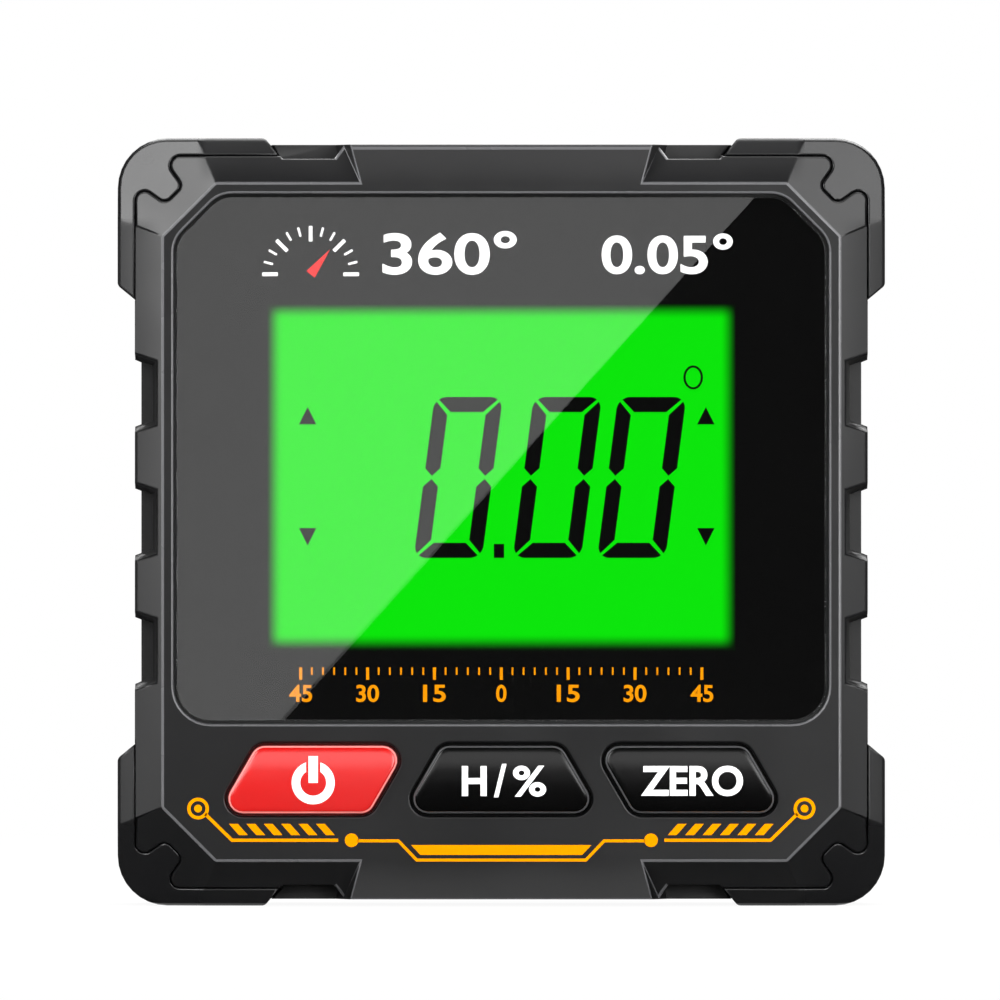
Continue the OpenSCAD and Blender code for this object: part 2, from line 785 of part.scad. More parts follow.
module chip_capacitors()
    color("#b08d5b")
        for (i = [0:5])
            bar((i + 2) * cap_pitch - board_wide / 2, view_z - 2 * cap_len, cap_w, cap_len,
                board_back, board_back + cap_h);

// a key cap with its rim, flange and stem
module key_cap(points, x) {
    hull() {
        slab(key_rim - key_proud, key_rim - key_proud + 0.02)
            polygon(rounded(points));
        slab(-key_proud, 0.02 - key_proud)
            polygon(rounded(grown(points, -key_rim)));
    }
    slab(key_rim - key_proud + 0.01, flange_to)
        polygon(rounded(points));
    slab(flange_from, flange_to)
        polygon(rounded(grown(points, key_clear + flange_w)));
    rod(x, key_z, stem_d / 2, flange_to - 0.3, plunger_front);
}

module power_button() color("#e5231b") key_cap(power_points, -side_key_x);
module mode_button() color("#101010") key_cap(mode_points, 0);
module zero_button() color("#101010") key_cap(zero_points, side_key_x);

module key_switch(x)
    color("#2a2a2a")
        difference() {
            bar(x, key_z, switch_w, switch_w, switch_front, board_front);
            rod(x, key_z, plunger_d / 2 + 0.08, switch_front - 1,
                switch_front + plunger_len - plunger_rise + key_travel + 0.1);
        }

module power_switch() key_switch(-side_key_x);
module mode_switch() key_switch(0);
module zero_switch() key_switch(side_key_x);

module key_plunger(x)
    color("#c9b48a")
        rod(x, key_z, plunger_d / 2, plunger_front, plunger_front + plunger_len);

module power_plunger() key_plunger(-side_key_x);
module mode_plunger() key_plunger(0);
module zero_plunger() key_plunger(side_key_x);

// a pan-head screw along the depth, with its head behind depth at
module screw(at, from) {
    difference() {
        rod(0, 0, screw_head_d / 2, at, at + screw_head_h);
        for (a = [0, 90])
            translate([0, front_y + at + screw_head_h, 0])
                rotate([0, a, 0])
                    cube([screw_head_d * 0.55, screw_head_h, screw_slot], center = true);
    }
    rod(0, 0, screw_d / 2, from, at + 0.1);
}

module board_screws()
    color("#b4b6b8")
        at_board_screws()
            screw(board_back, board_front - board_bite);

module case_screws()
    color("#8f9194")
        at_posts()
            screw(head_at - screw_head_h, thread_from);

module base_magnet(x)
    color("#c4c6c8")
        translate([x, magnet_y, case_low + 0.04])
            cylinder(h = magnet_t, d = magnet_d);

module base_magnet_left() base_magnet(-magnet_x);
module base_magnet_right() base_magnet(magnet_x);

module battery_door()
    color("#2e2e2e")
        difference() {
            intersection() {
                union() {
                    bar(0, (door_low + case_top) / 2, door_w, case_top - door_low, door_from, overall_d);
                    bar(0, (door_low + case_top) / 2, door_w + 2 * tongue_w, case_top - door_low,
                        door_from, tongue_to);
                }
                block(case_w, case_h, 0, overall_d);
            }
            difference() {
                slab(overall_d - thumb_depth, overall_d + 1)
                    polygon(rounded(box_points(0, thumb_low + thumb_h / 2, thumb_w, thumb_h, 1.5)));
                for (i = [0:thumb_ribs - 1])
                    bar(0, thumb_low + thumb_h * (i + 0.5) / thumb_ribs, thumb_w + 1,
                        0.4 * thumb_h / thumb_ribs, door_from, overall_d + 2);
            }
            slab(overall_d - arrow_depth, overall_d + 1)
                polygon([[-arrow_w / 2, arrow_low], [arrow_w / 2, arrow_low], [0, arrow_low + arrow_h]]);
        }

// a cell along Z, standing on its negative end
module cell() {
    r = cell_d / 2;
    c = cap_d / 2;
    shoulder = cell_len - cap_rise;
    edge = 0.08 * r;
    rotate_extrude()
        polygon([[0, edge / 2], [r - 3 * edge, edge / 2], [r - 2.4 * edge, 0], [r - edge, 0], [r, edge],
                 [r, shoulder - edge], [r - edge, shoulder],
                 [c + 2 * edge, shoulder], [c + 1.5 * edge, shoulder - edge / 2], [c, shoulder - edge / 2],
                 [c, cell_len - edge / 2], [c - edge / 2, cell_len], [0, cell_len]]);
}

module battery_left()
    color("#c8a24a")
        translate([-cell_x, front_y + cell_depth, bay_low + contact_t + spring_len])
            cell();

module battery_right()
    color("#c8a24a")
        translate([cell_x, front_y + cell_depth, bay_high - contact_t - spring_len])
            rotate([180, 0, 0])
                cell();

// a contact plate at the top of the bay with its tail to the board
module top_plate(x) {
    bar(x, bay_high - contact_t / 2, contact_w, contact_t,
        cell_depth - contact_w / 2, cell_depth + contact_w / 2);
    bar(x, bay_high - contact_t / 2, tail_w, contact_t, board_back, cell_depth);
}

// the raised boss that meets a positive cap, on the side of the plate that faces dir
module plate_boss(x, z, dir)
    translate([x, front_y + cell_depth, z])
        rotate([dir > 0 ? 0 : 180, 0, 0])
            translate([0, 0, -contact_t / 2]) {
                cylinder(h = contact_t / 2, d = boss_foot_d);
                translate([0, 0, contact_t / 2])
                    cylinder(h = contact_boss, d1 = boss_foot_d, d2 = boss_top_d);
            }

module contact_positive()
    color("#c0c4c6") {
        top_plate(-cell_x);
        plate_boss(-cell_x, bay_high - contact_t, -1);
    }

module contact_negative()
    color("#c0c4c6")
        top_plate(cell_x);

module contact_bridge()
    color("#c0c4c6") {
        bar(0, bay_low + contact_t / 2, cell_pitch + contact_w, contact_t,
            cell_depth - contact_w / 2, cell_depth + contact_w / 2);
        plate_boss(cell_x, bay_low + contact_t, 1);
    }

// a conical spring standing on its wide end, of height h
module cone_spring(h) {
    turns = 3.5;
    steps = 14;
    sides = 8;
    wide = spring_foot_d / 2;
    narrow = spring_tip_d / 2;
    w = spring_wire / 2;
    n = floor(turns * steps);
    last = n * sides;
    rings = [for (i = [0:n])
        for (j = [0:sides - 1])
            let (t = i / n)
            let (a = 360 * turns * t)
            let (b = 360 * j / sides)
            let (r = wide + (narrow - wide) * t + w * cos(b))
            [r * cos(a), r * sin(a), w + (h - 2 * w) * t + w * sin(b)]];
    sides_faces = [for (i = [0:n - 1])
        for (j = [0:sides - 1])
            for (f = [0, 1])
                let (k = (j + 1) % sides)
                f == 0 ? [i * sides + j, (i + 1) * sides + j, (i + 1) * sides + k]
                       : [i * sides + j, (i + 1) * sides + k, i * sides + k]];
    start = [[for (j = [0:sides - 1]) j]];
    end = [[for (j = [0:sides - 1]) last + sides - 1 - j]];
    polyhedron(points = rings, faces = concat(sides_faces, start, end));
}

module contact_spring_left()
    color("#cfd2d4")
        translate([-cell_x, front_y + cell_depth, bay_low + contact_t])
            cone_spring(spring_len);

module contact_spring_right()
    color("#cfd2d4")
        translate([cell_x, front_y + cell_depth, bay_high - contact_t])
            rotate([180, 0, 0])
                cone_spring(spring_len);

front_case();
rear_case();
corner_guard_top_left();
corner_guard_top_right();
corner_guard_bottom_left();
corner_guard_bottom_right();
display_lens();
lens_mask();
display_glass();
display_frame();
backlight_panel();
backlight_lamp();
connector_strip();
main_board();
controller_chip();
tilt_sensor();
board_crystal();
chip_capacitors();
power_button();
mode_button();
zero_button();
power_switch();
mode_switch();
zero_switch();
power_plunger();
mode_plunger();
zero_plunger();
board_screws();
case_screws();
base_magnet_left();
base_magnet_right();
battery_door();
battery_left();
battery_right();
contact_positive();
contact_negative();
contact_bridge();
contact_spring_left();
contact_spring_right();
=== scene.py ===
"""The looks of a pocket digital angle gauge: a black case with glossy corner guards, a lit
green display behind a clear lens, three crowned keys and an orange printed trim.

Sizes are in millimetres. The front face looks along -Y, Z is up, and the gauge stands on z = 0.
"""
import math

import bmesh
import bpy
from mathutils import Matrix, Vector


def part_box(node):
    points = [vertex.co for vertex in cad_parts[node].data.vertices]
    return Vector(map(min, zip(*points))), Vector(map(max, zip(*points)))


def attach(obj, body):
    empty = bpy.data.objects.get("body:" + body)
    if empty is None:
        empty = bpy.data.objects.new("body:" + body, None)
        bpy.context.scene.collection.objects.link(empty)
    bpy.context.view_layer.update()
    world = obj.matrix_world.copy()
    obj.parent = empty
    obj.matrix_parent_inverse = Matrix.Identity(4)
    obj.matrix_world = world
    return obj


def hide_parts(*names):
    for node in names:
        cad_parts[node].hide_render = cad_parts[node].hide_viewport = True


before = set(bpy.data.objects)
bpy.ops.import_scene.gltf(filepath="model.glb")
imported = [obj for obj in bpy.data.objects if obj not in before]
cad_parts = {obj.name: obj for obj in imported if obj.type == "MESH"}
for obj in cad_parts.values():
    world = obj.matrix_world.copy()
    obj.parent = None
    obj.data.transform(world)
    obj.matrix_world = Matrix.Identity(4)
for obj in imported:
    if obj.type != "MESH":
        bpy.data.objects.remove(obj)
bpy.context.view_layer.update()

MM = 0.001
FACE_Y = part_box("front_case")[0].y / MM
LENS_BACK_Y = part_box("display_lens")[1].y / MM
GLASS_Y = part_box("display_glass")[0].y / MM
KEY_PROUD = FACE_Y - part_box("mode_button")[0].y / MM
MID_Z = 31.0                    # the middle of the gauge
HALF_SIDE = 31.0                # from the middle to the sides
RIDGE = 27.35                   # from the middle to the ridge of the bevels
WORN_SIDE, KEPT_CORNER = 23.8, 24.6     # along a side from its middle
VIEW_Z = 34.66                  # the middle of the display
LIT_WIDE = (17.62, 19.0)        # where its glow starts to fade and ends, across and up
LIT_HIGH = (12.64, 14.02)
FILM = 0.02                     # thickness of a printed film


# Materials

def linear(hex_colour):
    """An sRGB hex colour as linear RGBA."""
    channels = [int(hex_colour[i:i + 2], 16) / 255 for i in (1, 3, 5)]
    return [c / 12.92 if c <= 0.04045 else ((c + 0.055) / 1.055) ** 2.4 for c in channels] + [1.0]


def darker(hex_colour, share):
    """A share of a colour, as linear RGBA."""
    return [share * c for c in linear(hex_colour)[:3]] + [1.0]


def add(tree, kind, inputs=None, **settings):
    """Adds a node. A socket among its inputs is linked, and any other value is set."""
    made = tree.nodes.new(kind)
    for key, value in settings.items():
        setattr(made, key, value)
    for key, value in (inputs or {}).items():
        if isinstance(value, bpy.types.NodeSocket):
            tree.links.new(value, made.inputs[key])
        else:
            made.inputs[key].default_value = value
    return made


def new_finish(name, **sockets):
    """A new material: its node tree, its shader, and its Object coordinates."""
    material = bpy.data.materials.new(name)
    material.use_nodes = True
    tree = material.node_tree
    shader = tree.nodes["Principled BSDF"]
    for key, value in sockets.items():
        shader.inputs[key.replace("_", " ")].default_value = value
    place = add(tree, "ShaderNodeTexCoord").outputs["Object"]
    return material, tree, shader, place


def moulded_abs(name, hex_colour, rough, grit, depth, shine=0.5, dulled=0.0):
    """Moulded ABS: a spark-eroded mould leaves a fine even grit that breaks up the shine. The
    real grit is about 0.05 mm, and it is drawn coarser so that it shows. Knocks dull the plastic
    more and more from the ridge of the bevels out to the sides of the case, but not the corners."""
    material, tree, shader, place = new_finish(name, Base_Color=linear(hex_colour),
                                               Specular_IOR_Level=shine)
    grain = add(tree, "ShaderNodeTexNoise",
                {"Vector": place, "Scale": 1 / (grit * MM), "Detail": 2.0})
    flow = add(tree, "ShaderNodeTexNoise", {"Vector": place, "Scale": 1 / (9 * MM), "Detail": 3.0})
    sheen = add(tree, "ShaderNodeMapRange",
                {"Value": flow.outputs["Fac"], "From Min": 0.3, "From Max": 0.7,
                 "To Min": rough - 0.03, "To Max": rough + 0.03})
    axes = add(tree, "ShaderNodeSeparateXYZ", {"Vector": place})
    lift = add(tree, "ShaderNodeMath", {0: axes.outputs["Z"], 1: MID_Z * MM}, operation="SUBTRACT")
    wide = add(tree, "ShaderNodeMath", {0: axes.outputs["X"]}, operation="ABSOLUTE").outputs[0]
    high = add(tree, "ShaderNodeMath", {0: lift.outputs[0]}, operation="ABSOLUTE").outputs[0]
    out = add(tree, "ShaderNodeMath", {0: wide, 1: high}, operation="MAXIMUM")
    along = add(tree, "ShaderNodeMath", {0: wide, 1: high}, operation="MINIMUM")
    side = add(tree, "ShaderNodeMapRange",
               {"Value": along.outputs[0], "From Min": KEPT_CORNER * MM, "From Max": WORN_SIDE * MM,
                "To Min": 0.0, "To Max": dulled})
    knocks = add(tree, "ShaderNodeMapRange",
                 {"Value": out.outputs[0], "From Min": RIDGE * MM, "From Max": HALF_SIDE * MM,
                  "To Min": 0.0, "To Max": side.outputs["Result"]})
    worn = add(tree, "ShaderNodeMath",
               {0: sheen.outputs["Result"], 1: knocks.outputs["Result"]}, operation="ADD")
    tree.links.new(worn.outputs[0], shader.inputs["Roughness"])
    bump = add(tree, "ShaderNodeBump", {"Height": grain.outputs["Fac"], "Strength": 0.5,
                                        "Distance": depth * MM})
    tree.links.new(bump.outputs["Normal"], shader.inputs["Normal"])
    return material


def printed_ink(name, hex_colour, shine=0.25):
    """Screen-printed ink: an even matt film whose edge and cover vary a little with the mesh of
    the screen, about 0.1 mm, drawn at 0.2 mm."""
    material, tree, shader, place = new_finish(name, Roughness=0.7, Specular_IOR_Level=shine)
    screen = add(tree, "ShaderNodeTexNoise", {"Vector": place, "Scale": 1 / (0.2 * MM)})
    cover = add(tree, "ShaderNodeMixRGB",
                {"Fac": screen.outputs["Fac"], "Color1": linear(hex_colour),
                 "Color2": darker(hex_colour, 0.93)})
    tree.links.new(cover.outputs["Color"], shader.inputs["Base Color"])
    return material


def plated_metal(name, hex_colour, rough, grain):
    """Plated metal: bright, with fine drawn lines that blur its reflections."""
    material, tree, shader, place = new_finish(name, Base_Color=linear(hex_colour), Metallic=1.0)
    lines = add(tree, "ShaderNodeTexNoise",
                {"Vector": place, "Scale": 1 / (grain * MM), "Detail": 3.0})
    haze = add(tree, "ShaderNodeMapRange",
               {"Value": lines.outputs["Fac"], "To Min": rough - 0.08, "To Max": rough + 0.08})
    tree.links.new(haze.outputs["Result"], shader.inputs["Roughness"])
    return material


def plain_moulding(name, hex_colour, rough, size):
    """A small moulded or pressed part: one colour that drifts a little over its surface."""
    material, tree, shader, place = new_finish(name, Roughness=rough)
    drift = add(tree, "ShaderNodeTexNoise", {"Vector": place, "Scale": 1 / (size * MM)})
    shade = add(tree, "ShaderNodeMixRGB",
                {"Fac": drift.outputs["Fac"], "Color1": linear(hex_colour),
                 "Color2": darker(hex_colour, 0.8)})
    tree.links.new(shade.outputs["Color"], shader.inputs["Base Color"])
    return material


# the case: a dull black with a soft shine
case_abs = moulded_abs("matt_moulded_abs", "#111112", 0.31, 0.25, 0.002, dulled=0.24)
# the back and the battery door: a coarser grain that looks paler and duller
rear_abs = moulded_abs("grained_moulded_abs", "#202021", 0.45, 0.4, 0.004)
# the rim of the front face: the same black painted paler as a highlight along its edges, and
# smoother
highlight_rim_abs = moulded_abs("painted_highlight_abs_edge", "#505052", 0.28, 0.25, 0.001)
# the guards: the same black from a smoother mould, with a clearer shine
guard_abs = moulded_abs("satin_moulded_abs", "#111112", 0.25, 0.3, 0.0015, dulled=0.24)
# the keys: polished moulds give a wet gloss
red_key_abs = moulded_abs("gloss_red_abs", "#b80604", 0.23, 0.8, 0.002, shine=0.85)
black_key_abs = moulded_abs("gloss_black_abs", "#020202", 0.23, 0.8, 0.002, shine=0.38)
# the rims of the keys: painted paler as a highlight along their edges
red_highlight_rim_abs = moulded_abs("painted_highlight_red_edge", "#ea8a86", 0.2, 0.8, 0.001)
black_highlight_rim_abs = moulded_abs("painted_highlight_black_edge", "#48484a", 0.2, 0.8, 0.001)

# the legends, the trim, the dial's pointer, the lens's mask and the display's figures: flat ink,
# and dead matt where no shine shows on it
white_ink = printed_ink("white_screen_ink", "#f4f4f4")
orange_ink = printed_ink("orange_screen_ink", "#de8900", 0.0)
red_ink = printed_ink("red_screen_ink", "#e01212")
mask_ink = printed_ink("black_mask_ink", "#040404", 0.0)
segment_ink = printed_ink("display_segment_black", "#020202", 0.0)

# magnets and contacts, screws, and the cans of the sensor and the crystal: bright to dull silver
nickel = plated_metal("nickel_plate", "#c9c4bb", 0.25, 0.3)
zinc = plated_metal("zinc_plated_steel", "#b4b6b8", 0.35, 0.2)
tinned = plated_metal("tinned_can", "#c4c6c8", 0.3, 0.5)

# the small parts inside: satin white, clear and pale yellow, then dull grey, black and brown
nylon = plain_moulding("white_nylon", "#e6e6e0", 0.45, 2.0)
guide = plain_moulding("light_guide_acrylic", "#eef4ee", 0.2, 1.0)
lamp_epoxy = plain_moulding("lamp_epoxy", "#f2f0d0", 0.25, 0.5)
rubber = plain_moulding("striped_silicone", "#8f8f94", 0.6, 0.4)
epoxy = plain_moulding("black_chip_epoxy", "#17181a", 0.5, 0.6)
ceramic = plain_moulding("tan_ceramic", "#a3825c", 0.45, 0.4)
switch_nylon = plain_moulding("black_nylon", "#1d1d1f", 0.5, 1.0)
plunger_acetal = plain_moulding("brown_acetal", "#5a3a24", 0.4, 1.0)


def clear_acrylic():
    """Cast acrylic: clear, flat and polished, with a hard mirror-like glint."""
    material, tree, shader, place = new_finish(
        "clear_cast_acrylic", Base_Color=linear("#ffffff"), Transmission_Weight=1.0, IOR=1.49)
    smear = add(tree, "ShaderNodeTexNoise", {"Vector": place, "Scale": 1 / (14 * MM)})
    film = add(tree, "ShaderNodeMapRange", {"Value": smear.outputs["Fac"], "To Min": 0.0,
                                            "To Max": 0.004})
    tree.links.new(film.outputs["Result"], shader.inputs["Roughness"])
    lamp_way = add(tree, "ShaderNodeMixShader",
                   {0: add(tree, "ShaderNodeLightPath").outputs["Is Shadow Ray"],
                    1: shader.outputs[0],
                    2: add(tree, "ShaderNodeBsdfTransparent").outputs[0]})
    tree.links.new(lamp_way.outputs[0], tree.nodes["Material Output"].inputs["Surface"])
    return material


def lit_display():
    """A backlit display: an even green glow that dies away at the edges of the light guide."""
    material, tree, shader, place = new_finish(
        "backlit_display_glass", Base_Color=linear("#021402"), Roughness=0.5,
        Specular_IOR_Level=0.0, Emission_Color=linear("#00e400"))
    spot = add(tree, "ShaderNodeSeparateXYZ", {"Vector": place})
    above = add(tree, "ShaderNodeMath", {0: spot.outputs["Z"], 1: VIEW_Z * MM},
                operation="SUBTRACT")
    fades = []
    for away, (start, end), full in ((spot.outputs["X"], LIT_WIDE, 1.0),
                                     (above.outputs[0], LIT_HIGH, 1.08)):
        off = add(tree, "ShaderNodeMath", {0: away}, operation="ABSOLUTE")
        fade = add(tree, "ShaderNodeMapRange",
                   {"Value": off.outputs[0], "From Min": start * MM, "From Max": end * MM,
                    "To Min": full, "To Max": 0.0}, interpolation_type="SMOOTHSTEP")
        fades.append(fade.outputs[0])
    glow = add(tree, "ShaderNodeMath", {0: fades[0], 1: fades[1]}, operation="MULTIPLY")
    tree.links.new(glow.outputs[0], shader.inputs["Emission Strength"])
    return material


def cell_sleeve(name, low, high):
    """A cell: a printed shrink sleeve, black with a copper band towards the positive end, between
    bare steel ends. low and high are the heights of the negative and positive ends."""
    material, tree, shader, place = new_finish(name, Roughness=0.3)
    spot = add(tree, "ShaderNodeSeparateXYZ", {"Vector": place})
    part = add(tree, "ShaderNodeMapRange", {"Value": spot.outputs["Z"], "From Min": low * MM,
                                            "From Max": high * MM})
    bands = add(tree, "ShaderNodeValToRGB", {"Fac": part.outputs["Result"]})
    bands.color_ramp.interpolation = "CONSTANT"
    stops = [(0.0, "#b9bcc0"), (0.012, "#1b1c1f"), (0.66, "#d8d8d8"), (0.672, "#b9702f"),
             (0.965, "#b9bcc0")]
    for position, hex_colour in stops:
        stop = bands.color_ramp.elements.new(position)
        stop.color = linear(hex_colour)
    # the two stops that a new ramp already has
    bands.color_ramp.elements.remove(bands.color_ramp.elements[-1])
    bands.color_ramp.elements.remove(bands.color_ramp.elements[0])
    tree.links.new(bands.outputs["Color"], shader.inputs["Base Color"])
    return material


def circuit_board():
    """A glass-epoxy board under green lacquer, with copper tracks that show as paler lines."""
    material, tree, shader, place = new_finish("green_lacquered_board", Roughness=0.35)
    tracks = add(tree, "ShaderNodeTexBrick",
                 {"Vector": place, "Color1": linear("#1c5a34"), "Color2": linear("#184f2e"),
                  "Mortar": linear("#2f7a4a"), "Scale": 1 / (4 * MM), "Mortar Size": 0.03})
    tree.links.new(tracks.outputs["Color"], shader.inputs["Base Color"])
    return material


acrylic = clear_acrylic()
display = lit_display()
board = circuit_board()
left_cell = cell_sleeve(
    "printed_sleeve_up", *(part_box("battery_left")[i].z / MM for i in (0, 1)))
right_cell = cell_sleeve(
    "printed_sleeve_down", *(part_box("battery_right")[i].z / MM for i in (1, 0)))


# Pieces

def meshed(bm, name):
    """Makes a mesh of a bmesh, which is freed."""
    mesh = bpy.data.meshes.new(name)
    bm.to_mesh(mesh)
    bm.free()
    return mesh


def joined(parts):
    """Makes one bmesh of several, which are freed."""
    whole = bmesh.new()
    for bm in parts:
        part = meshed(bm, "part")
        whole.from_mesh(part)
        bpy.data.meshes.remove(part)
    return whole


def as_it_stands(made):
    """A plain mesh of an object with its modifiers applied."""
    return bpy.data.meshes.new_from_object(
        made.evaluated_get(bpy.context.evaluated_depsgraph_get()))


def piece(name, mesh, material, body, node=None):
    """Places a finished mesh on its body."""
    made = bpy.data.objects.new(name, mesh)
    bpy.context.scene.collection.objects.link(made)
    mesh.materials.clear()
    mesh.materials.append(material)
    if node:
        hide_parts(node)
    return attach(made, body)


# Rounded copies of CAD nodes

SHARP = math.radians(20)        # edges that turn more than this are rounded
SHALLOW = math.radians(45)      # and those that turn less than this are rounded less
NEARLY_STRAIGHT = math.radians(155)
OUTLINE_WIDER = 1.6
SHALLOW_NARROWER = 0.6
FOOT_NARROWER = 0.5
ROOM_SHARE = 0.45               # of the way to a neighbour, so that two bevels keep apart
NO_LIMIT = 9.0                  # far more than any rounding
MERGE = 0.03                    # corners of the CAD triangles closer than this are one
FLAT = math.radians(0.6)        # and faces that turn less than this are one
OUTLINE_RIM, FACE_RIM = 0.25, 0.6   # depth of the rim painted as a highlight, in widths of the rounding


def clear_of(corner, edge):
    """How far a corner lies from an edge that it faces."""
    start, length = edge.verts[0].co, edge.calc_length()
    along = (edge.verts[1].co - start) / length
    run = (corner.co - start).dot(along)
    if 0.01 < run / length < 0.99:
        return (corner.co - start - run * along).length
    return NO_LIMIT


def bevel_room(edge):
    """How far a bevel of an edge can reach before it runs past a neighbouring edge's end, or meets
    another sharp edge across one of its faces."""
    room = NO_LIMIT
    for face in edge.link_faces:
        for other in face.edges:
            apart = not set(other.verts) & set(edge.verts)
            if apart and other.calc_face_angle() > SHARP:
                room = min([room] + [ROOM_SHARE * clear_of(corner, other) for corner in edge.verts]
                           + [ROOM_SHARE * clear_of(corner, edge) for corner in other.verts])
    for corner in edge.verts:
        way = (edge.other_vert(corner).co - corner.co).normalized()
        for near in corner.link_edges:
            if near is not edge:
                side = (near.other_vert(corner).co - corner.co).normalized()
                between = way.angle(side)
                if between < NEARLY_STRAIGHT:
                    room = min(room, ROOM_SHARE * near.calc_length()
                               * min(1, math.tan(between / 2)))
    return room


def weigh_edges(bm, width, outline, near, foot):
    """Marks the edges to be rounded, each with its share of the widest rounding."""
    weight = bm.edges.layers.float.new("bevel_weight_edge")
    back = max(v.co.y for v in bm.verts) - 0.01 * MM
    full = OUTLINE_WIDER * width
    for edge in bm.edges:
        turn = edge.calc_face_angle()
        if turn > SHARP:
            spots = [v.co / MM for v in edge.verts]
            at_foot = bool(foot) and all(foot(spot) for spot in spots)
            edge.smooth = ((edge.is_convex or at_foot)
                           and max(v.co.y for v in edge.verts) < back
                           and (not near or all(near(spot) for spot in spots)))
            reach = width * (SHALLOW_NARROWER if turn < SHALLOW else 1)
            if all(outline(spot) for spot in spots):
                reach = full
            if at_foot:
                reach = FOOT_NARROWER * width
            edge[weight] = edge.smooth * min(reach, bevel_room(edge) / MM) / full


def softened(name, node, width, material, body, outline, trim=None, rim=None, near=None,
             foot=None):
    """A copy of a CAD node with its outer edges rounded, as a mould leaves them, but for those that
    meet its flat back. Edges on the outline are rounded wider. With near, only edges at such points
    are rounded, and with foot, inner edges there too. With rim, the edges of the front face and of
    the foot take that material, a paler colour that paints a highlight along them."""
    bm = bmesh.new()
    bm.from_mesh(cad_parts[node].data)
    bmesh.ops.remove_doubles(bm, verts=bm.verts, dist=MERGE * MM)
    bmesh.ops.dissolve_limit(bm, angle_limit=FLAT, verts=bm.verts, edges=bm.edges)
    if trim:
        trim(bm)
    weigh_edges(bm, width, outline, near, foot)
    for face in bm.faces:
        face.smooth = True
    mesh = meshed(bm, name)
    made = piece(name, mesh, material, body, node)
    if rim:
        mesh.materials.append(rim)
    edges = made.modifiers.new("edges", "BEVEL")
    edges.limit_method = "WEIGHT"
    edges.width = OUTLINE_WIDER * width * MM
    edges.segments = 3
    edges.use_clamp_overlap = False
    edges.loop_slide = False
    edges.material = 1 if rim else -1
    flat = made.modifiers.new("flat_faces", "WEIGHTED_NORMAL")
    flat.weight = 100
    flat.keep_sharp = True
    rounded_mesh = as_it_stands(made)
    made.modifiers.clear()
    made.data = rounded_mesh
    # rounded faces next to the front face and at the tabs' feet, and the strip at the tab's end,
    # keep the paler rim colour, a painted highlight; the key openings and the rest take the case's
    # colour
    for face in rounded_mesh.polygons:
        spot = face.center / MM
        deep = FACE_Y + (OUTLINE_RIM if outline(spot) else FACE_RIM) * width
        if spot.y > deep and not (foot and foot(spot)) or key_opening(spot):
            face.material_index = 0
        elif rim and tab_end(spot):
            face.material_index = 1


def from_middle(spot):
    """How far a point of the gauge lies from its middle, across and up."""
    return abs(spot.x), abs(spot.z - MID_Z)


KEYS_HALF, KEYS_LOW, KEYS_HIGH = 24, 6.5, 14
FRONT_DEPTH = 6                 # how far behind the face an edge still draws the outline
SIDE_RUN = 18.6                 # half the length of a side between two guards
SIDE_OUT, END_OUT = 29.05, 30.2     # from the middle to the outline, across and up
HOLLOW_HALF = 28
GUARD_CENTRE, GUARD_RADIUS = 27, 3.6


def key_opening(spot):
    """True at the keys' openings in the front face."""
    return abs(spot.x) < KEYS_HALF and KEYS_LOW < spot.z < KEYS_HIGH


def case_outline(spot):
    """True at the edges that draw the case's outline, seen from the front."""
    wide, high = from_middle(spot)
    return spot.y < FACE_Y + FRONT_DEPTH and (wide > SIDE_OUT and high < SIDE_RUN
                                              or wide < SIDE_RUN and high > END_OUT)


def guard_outline(spot):
    """True at the edges that draw the guards' outline, seen from the front."""
    wide, high = from_middle(spot)
    return spot.y < FACE_Y + FRONT_DEPTH and math.hypot(
        max(wide - GUARD_CENTRE, 0), max(high - GUARD_CENTRE, 0)) > GUARD_RADIUS


def case_outside(spot):
    """True outside the hollow of the front case, but for the tight corners of its edge pockets."""
    wide, high = from_middle(spot)
    pocket_corner = 13.3 < wide < 13.5 and high > 30.4
    outside = spot.y < FACE_Y + 2 or max(wide, high) > HOLLOW_HALF
    return outside and not pocket_corner


def tab_foot(spot):
    """True where the ends of the centre tabs rise from the bevels."""
    wide, high = from_middle(spot)
    return 11.1 < wide < 13.4 and high > 27.3 and spot.y < FACE_Y + 3.2


def rear_sides(spot):
    """True at the sides of the rear case, between the guards."""
    return abs(spot.x) > 28.9 and 13.5 < spot.z < 48.5


# the strip at the end of the upper tab that is painted paler as a highlight
TAB_HIGHLIGHT = (61.03, 61.27)     # the strip's lower and upper edge


def tab_end(spot):
    """True on the strip along the end of the upper tab that is painted paler as a highlight."""
    return abs(spot.x) < 12 and TAB_HIGHLIGHT[0] < spot.z < TAB_HIGHLIGHT[1] and spot.y < FACE_Y + 0.01


def split_tab_end(bm):
    """Cuts the front face along the strip at the end of the upper tab that is painted as a
    highlight.
    """
    for z in TAB_HIGHLIGHT:
        face = max((f for f in bm.faces if f.normal.y < -0.99),
                   key=lambda f: max(v.co.z for v in f.verts))
        bmesh.ops.bisect_plane(bm, geom=[face] + face.edges[:] + face.verts[:],
                               plane_co=(0, 0, z * MM), plane_no=(0, 0, 1))


def thin_lens(bm):
    """Draws the back of the lens forward, to leave room for the print behind it."""
    for v in bm.verts:
        if v.co.y > (LENS_BACK_Y - 0.01) * MM:
            v.co.y -= 0.06 * MM


softened("front_shell", "front_case", 0.2, case_abs, "housing", case_outline,
         trim=split_tab_end, rim=highlight_rim_abs, near=case_outside, foot=tab_foot)
softened("rear_shell", "rear_case", 0.2, rear_abs, "housing", case_outline,
         near=rear_sides)
softened("door_panel", "battery_door", 0.15, rear_abs, "battery_cover",
         case_outline)
for corner in ("top_left", "top_right", "bottom_left", "bottom_right"):
    softened("guard_" + corner, "corner_guard_" + corner, 0.22, guard_abs, "housing",
             guard_outline)
softened("lens_sheet", "display_lens", 0.05, acrylic, "housing", case_outline,
         trim=thin_lens)


# Outlines and films

TIGHTEST_CORNER = 0.12


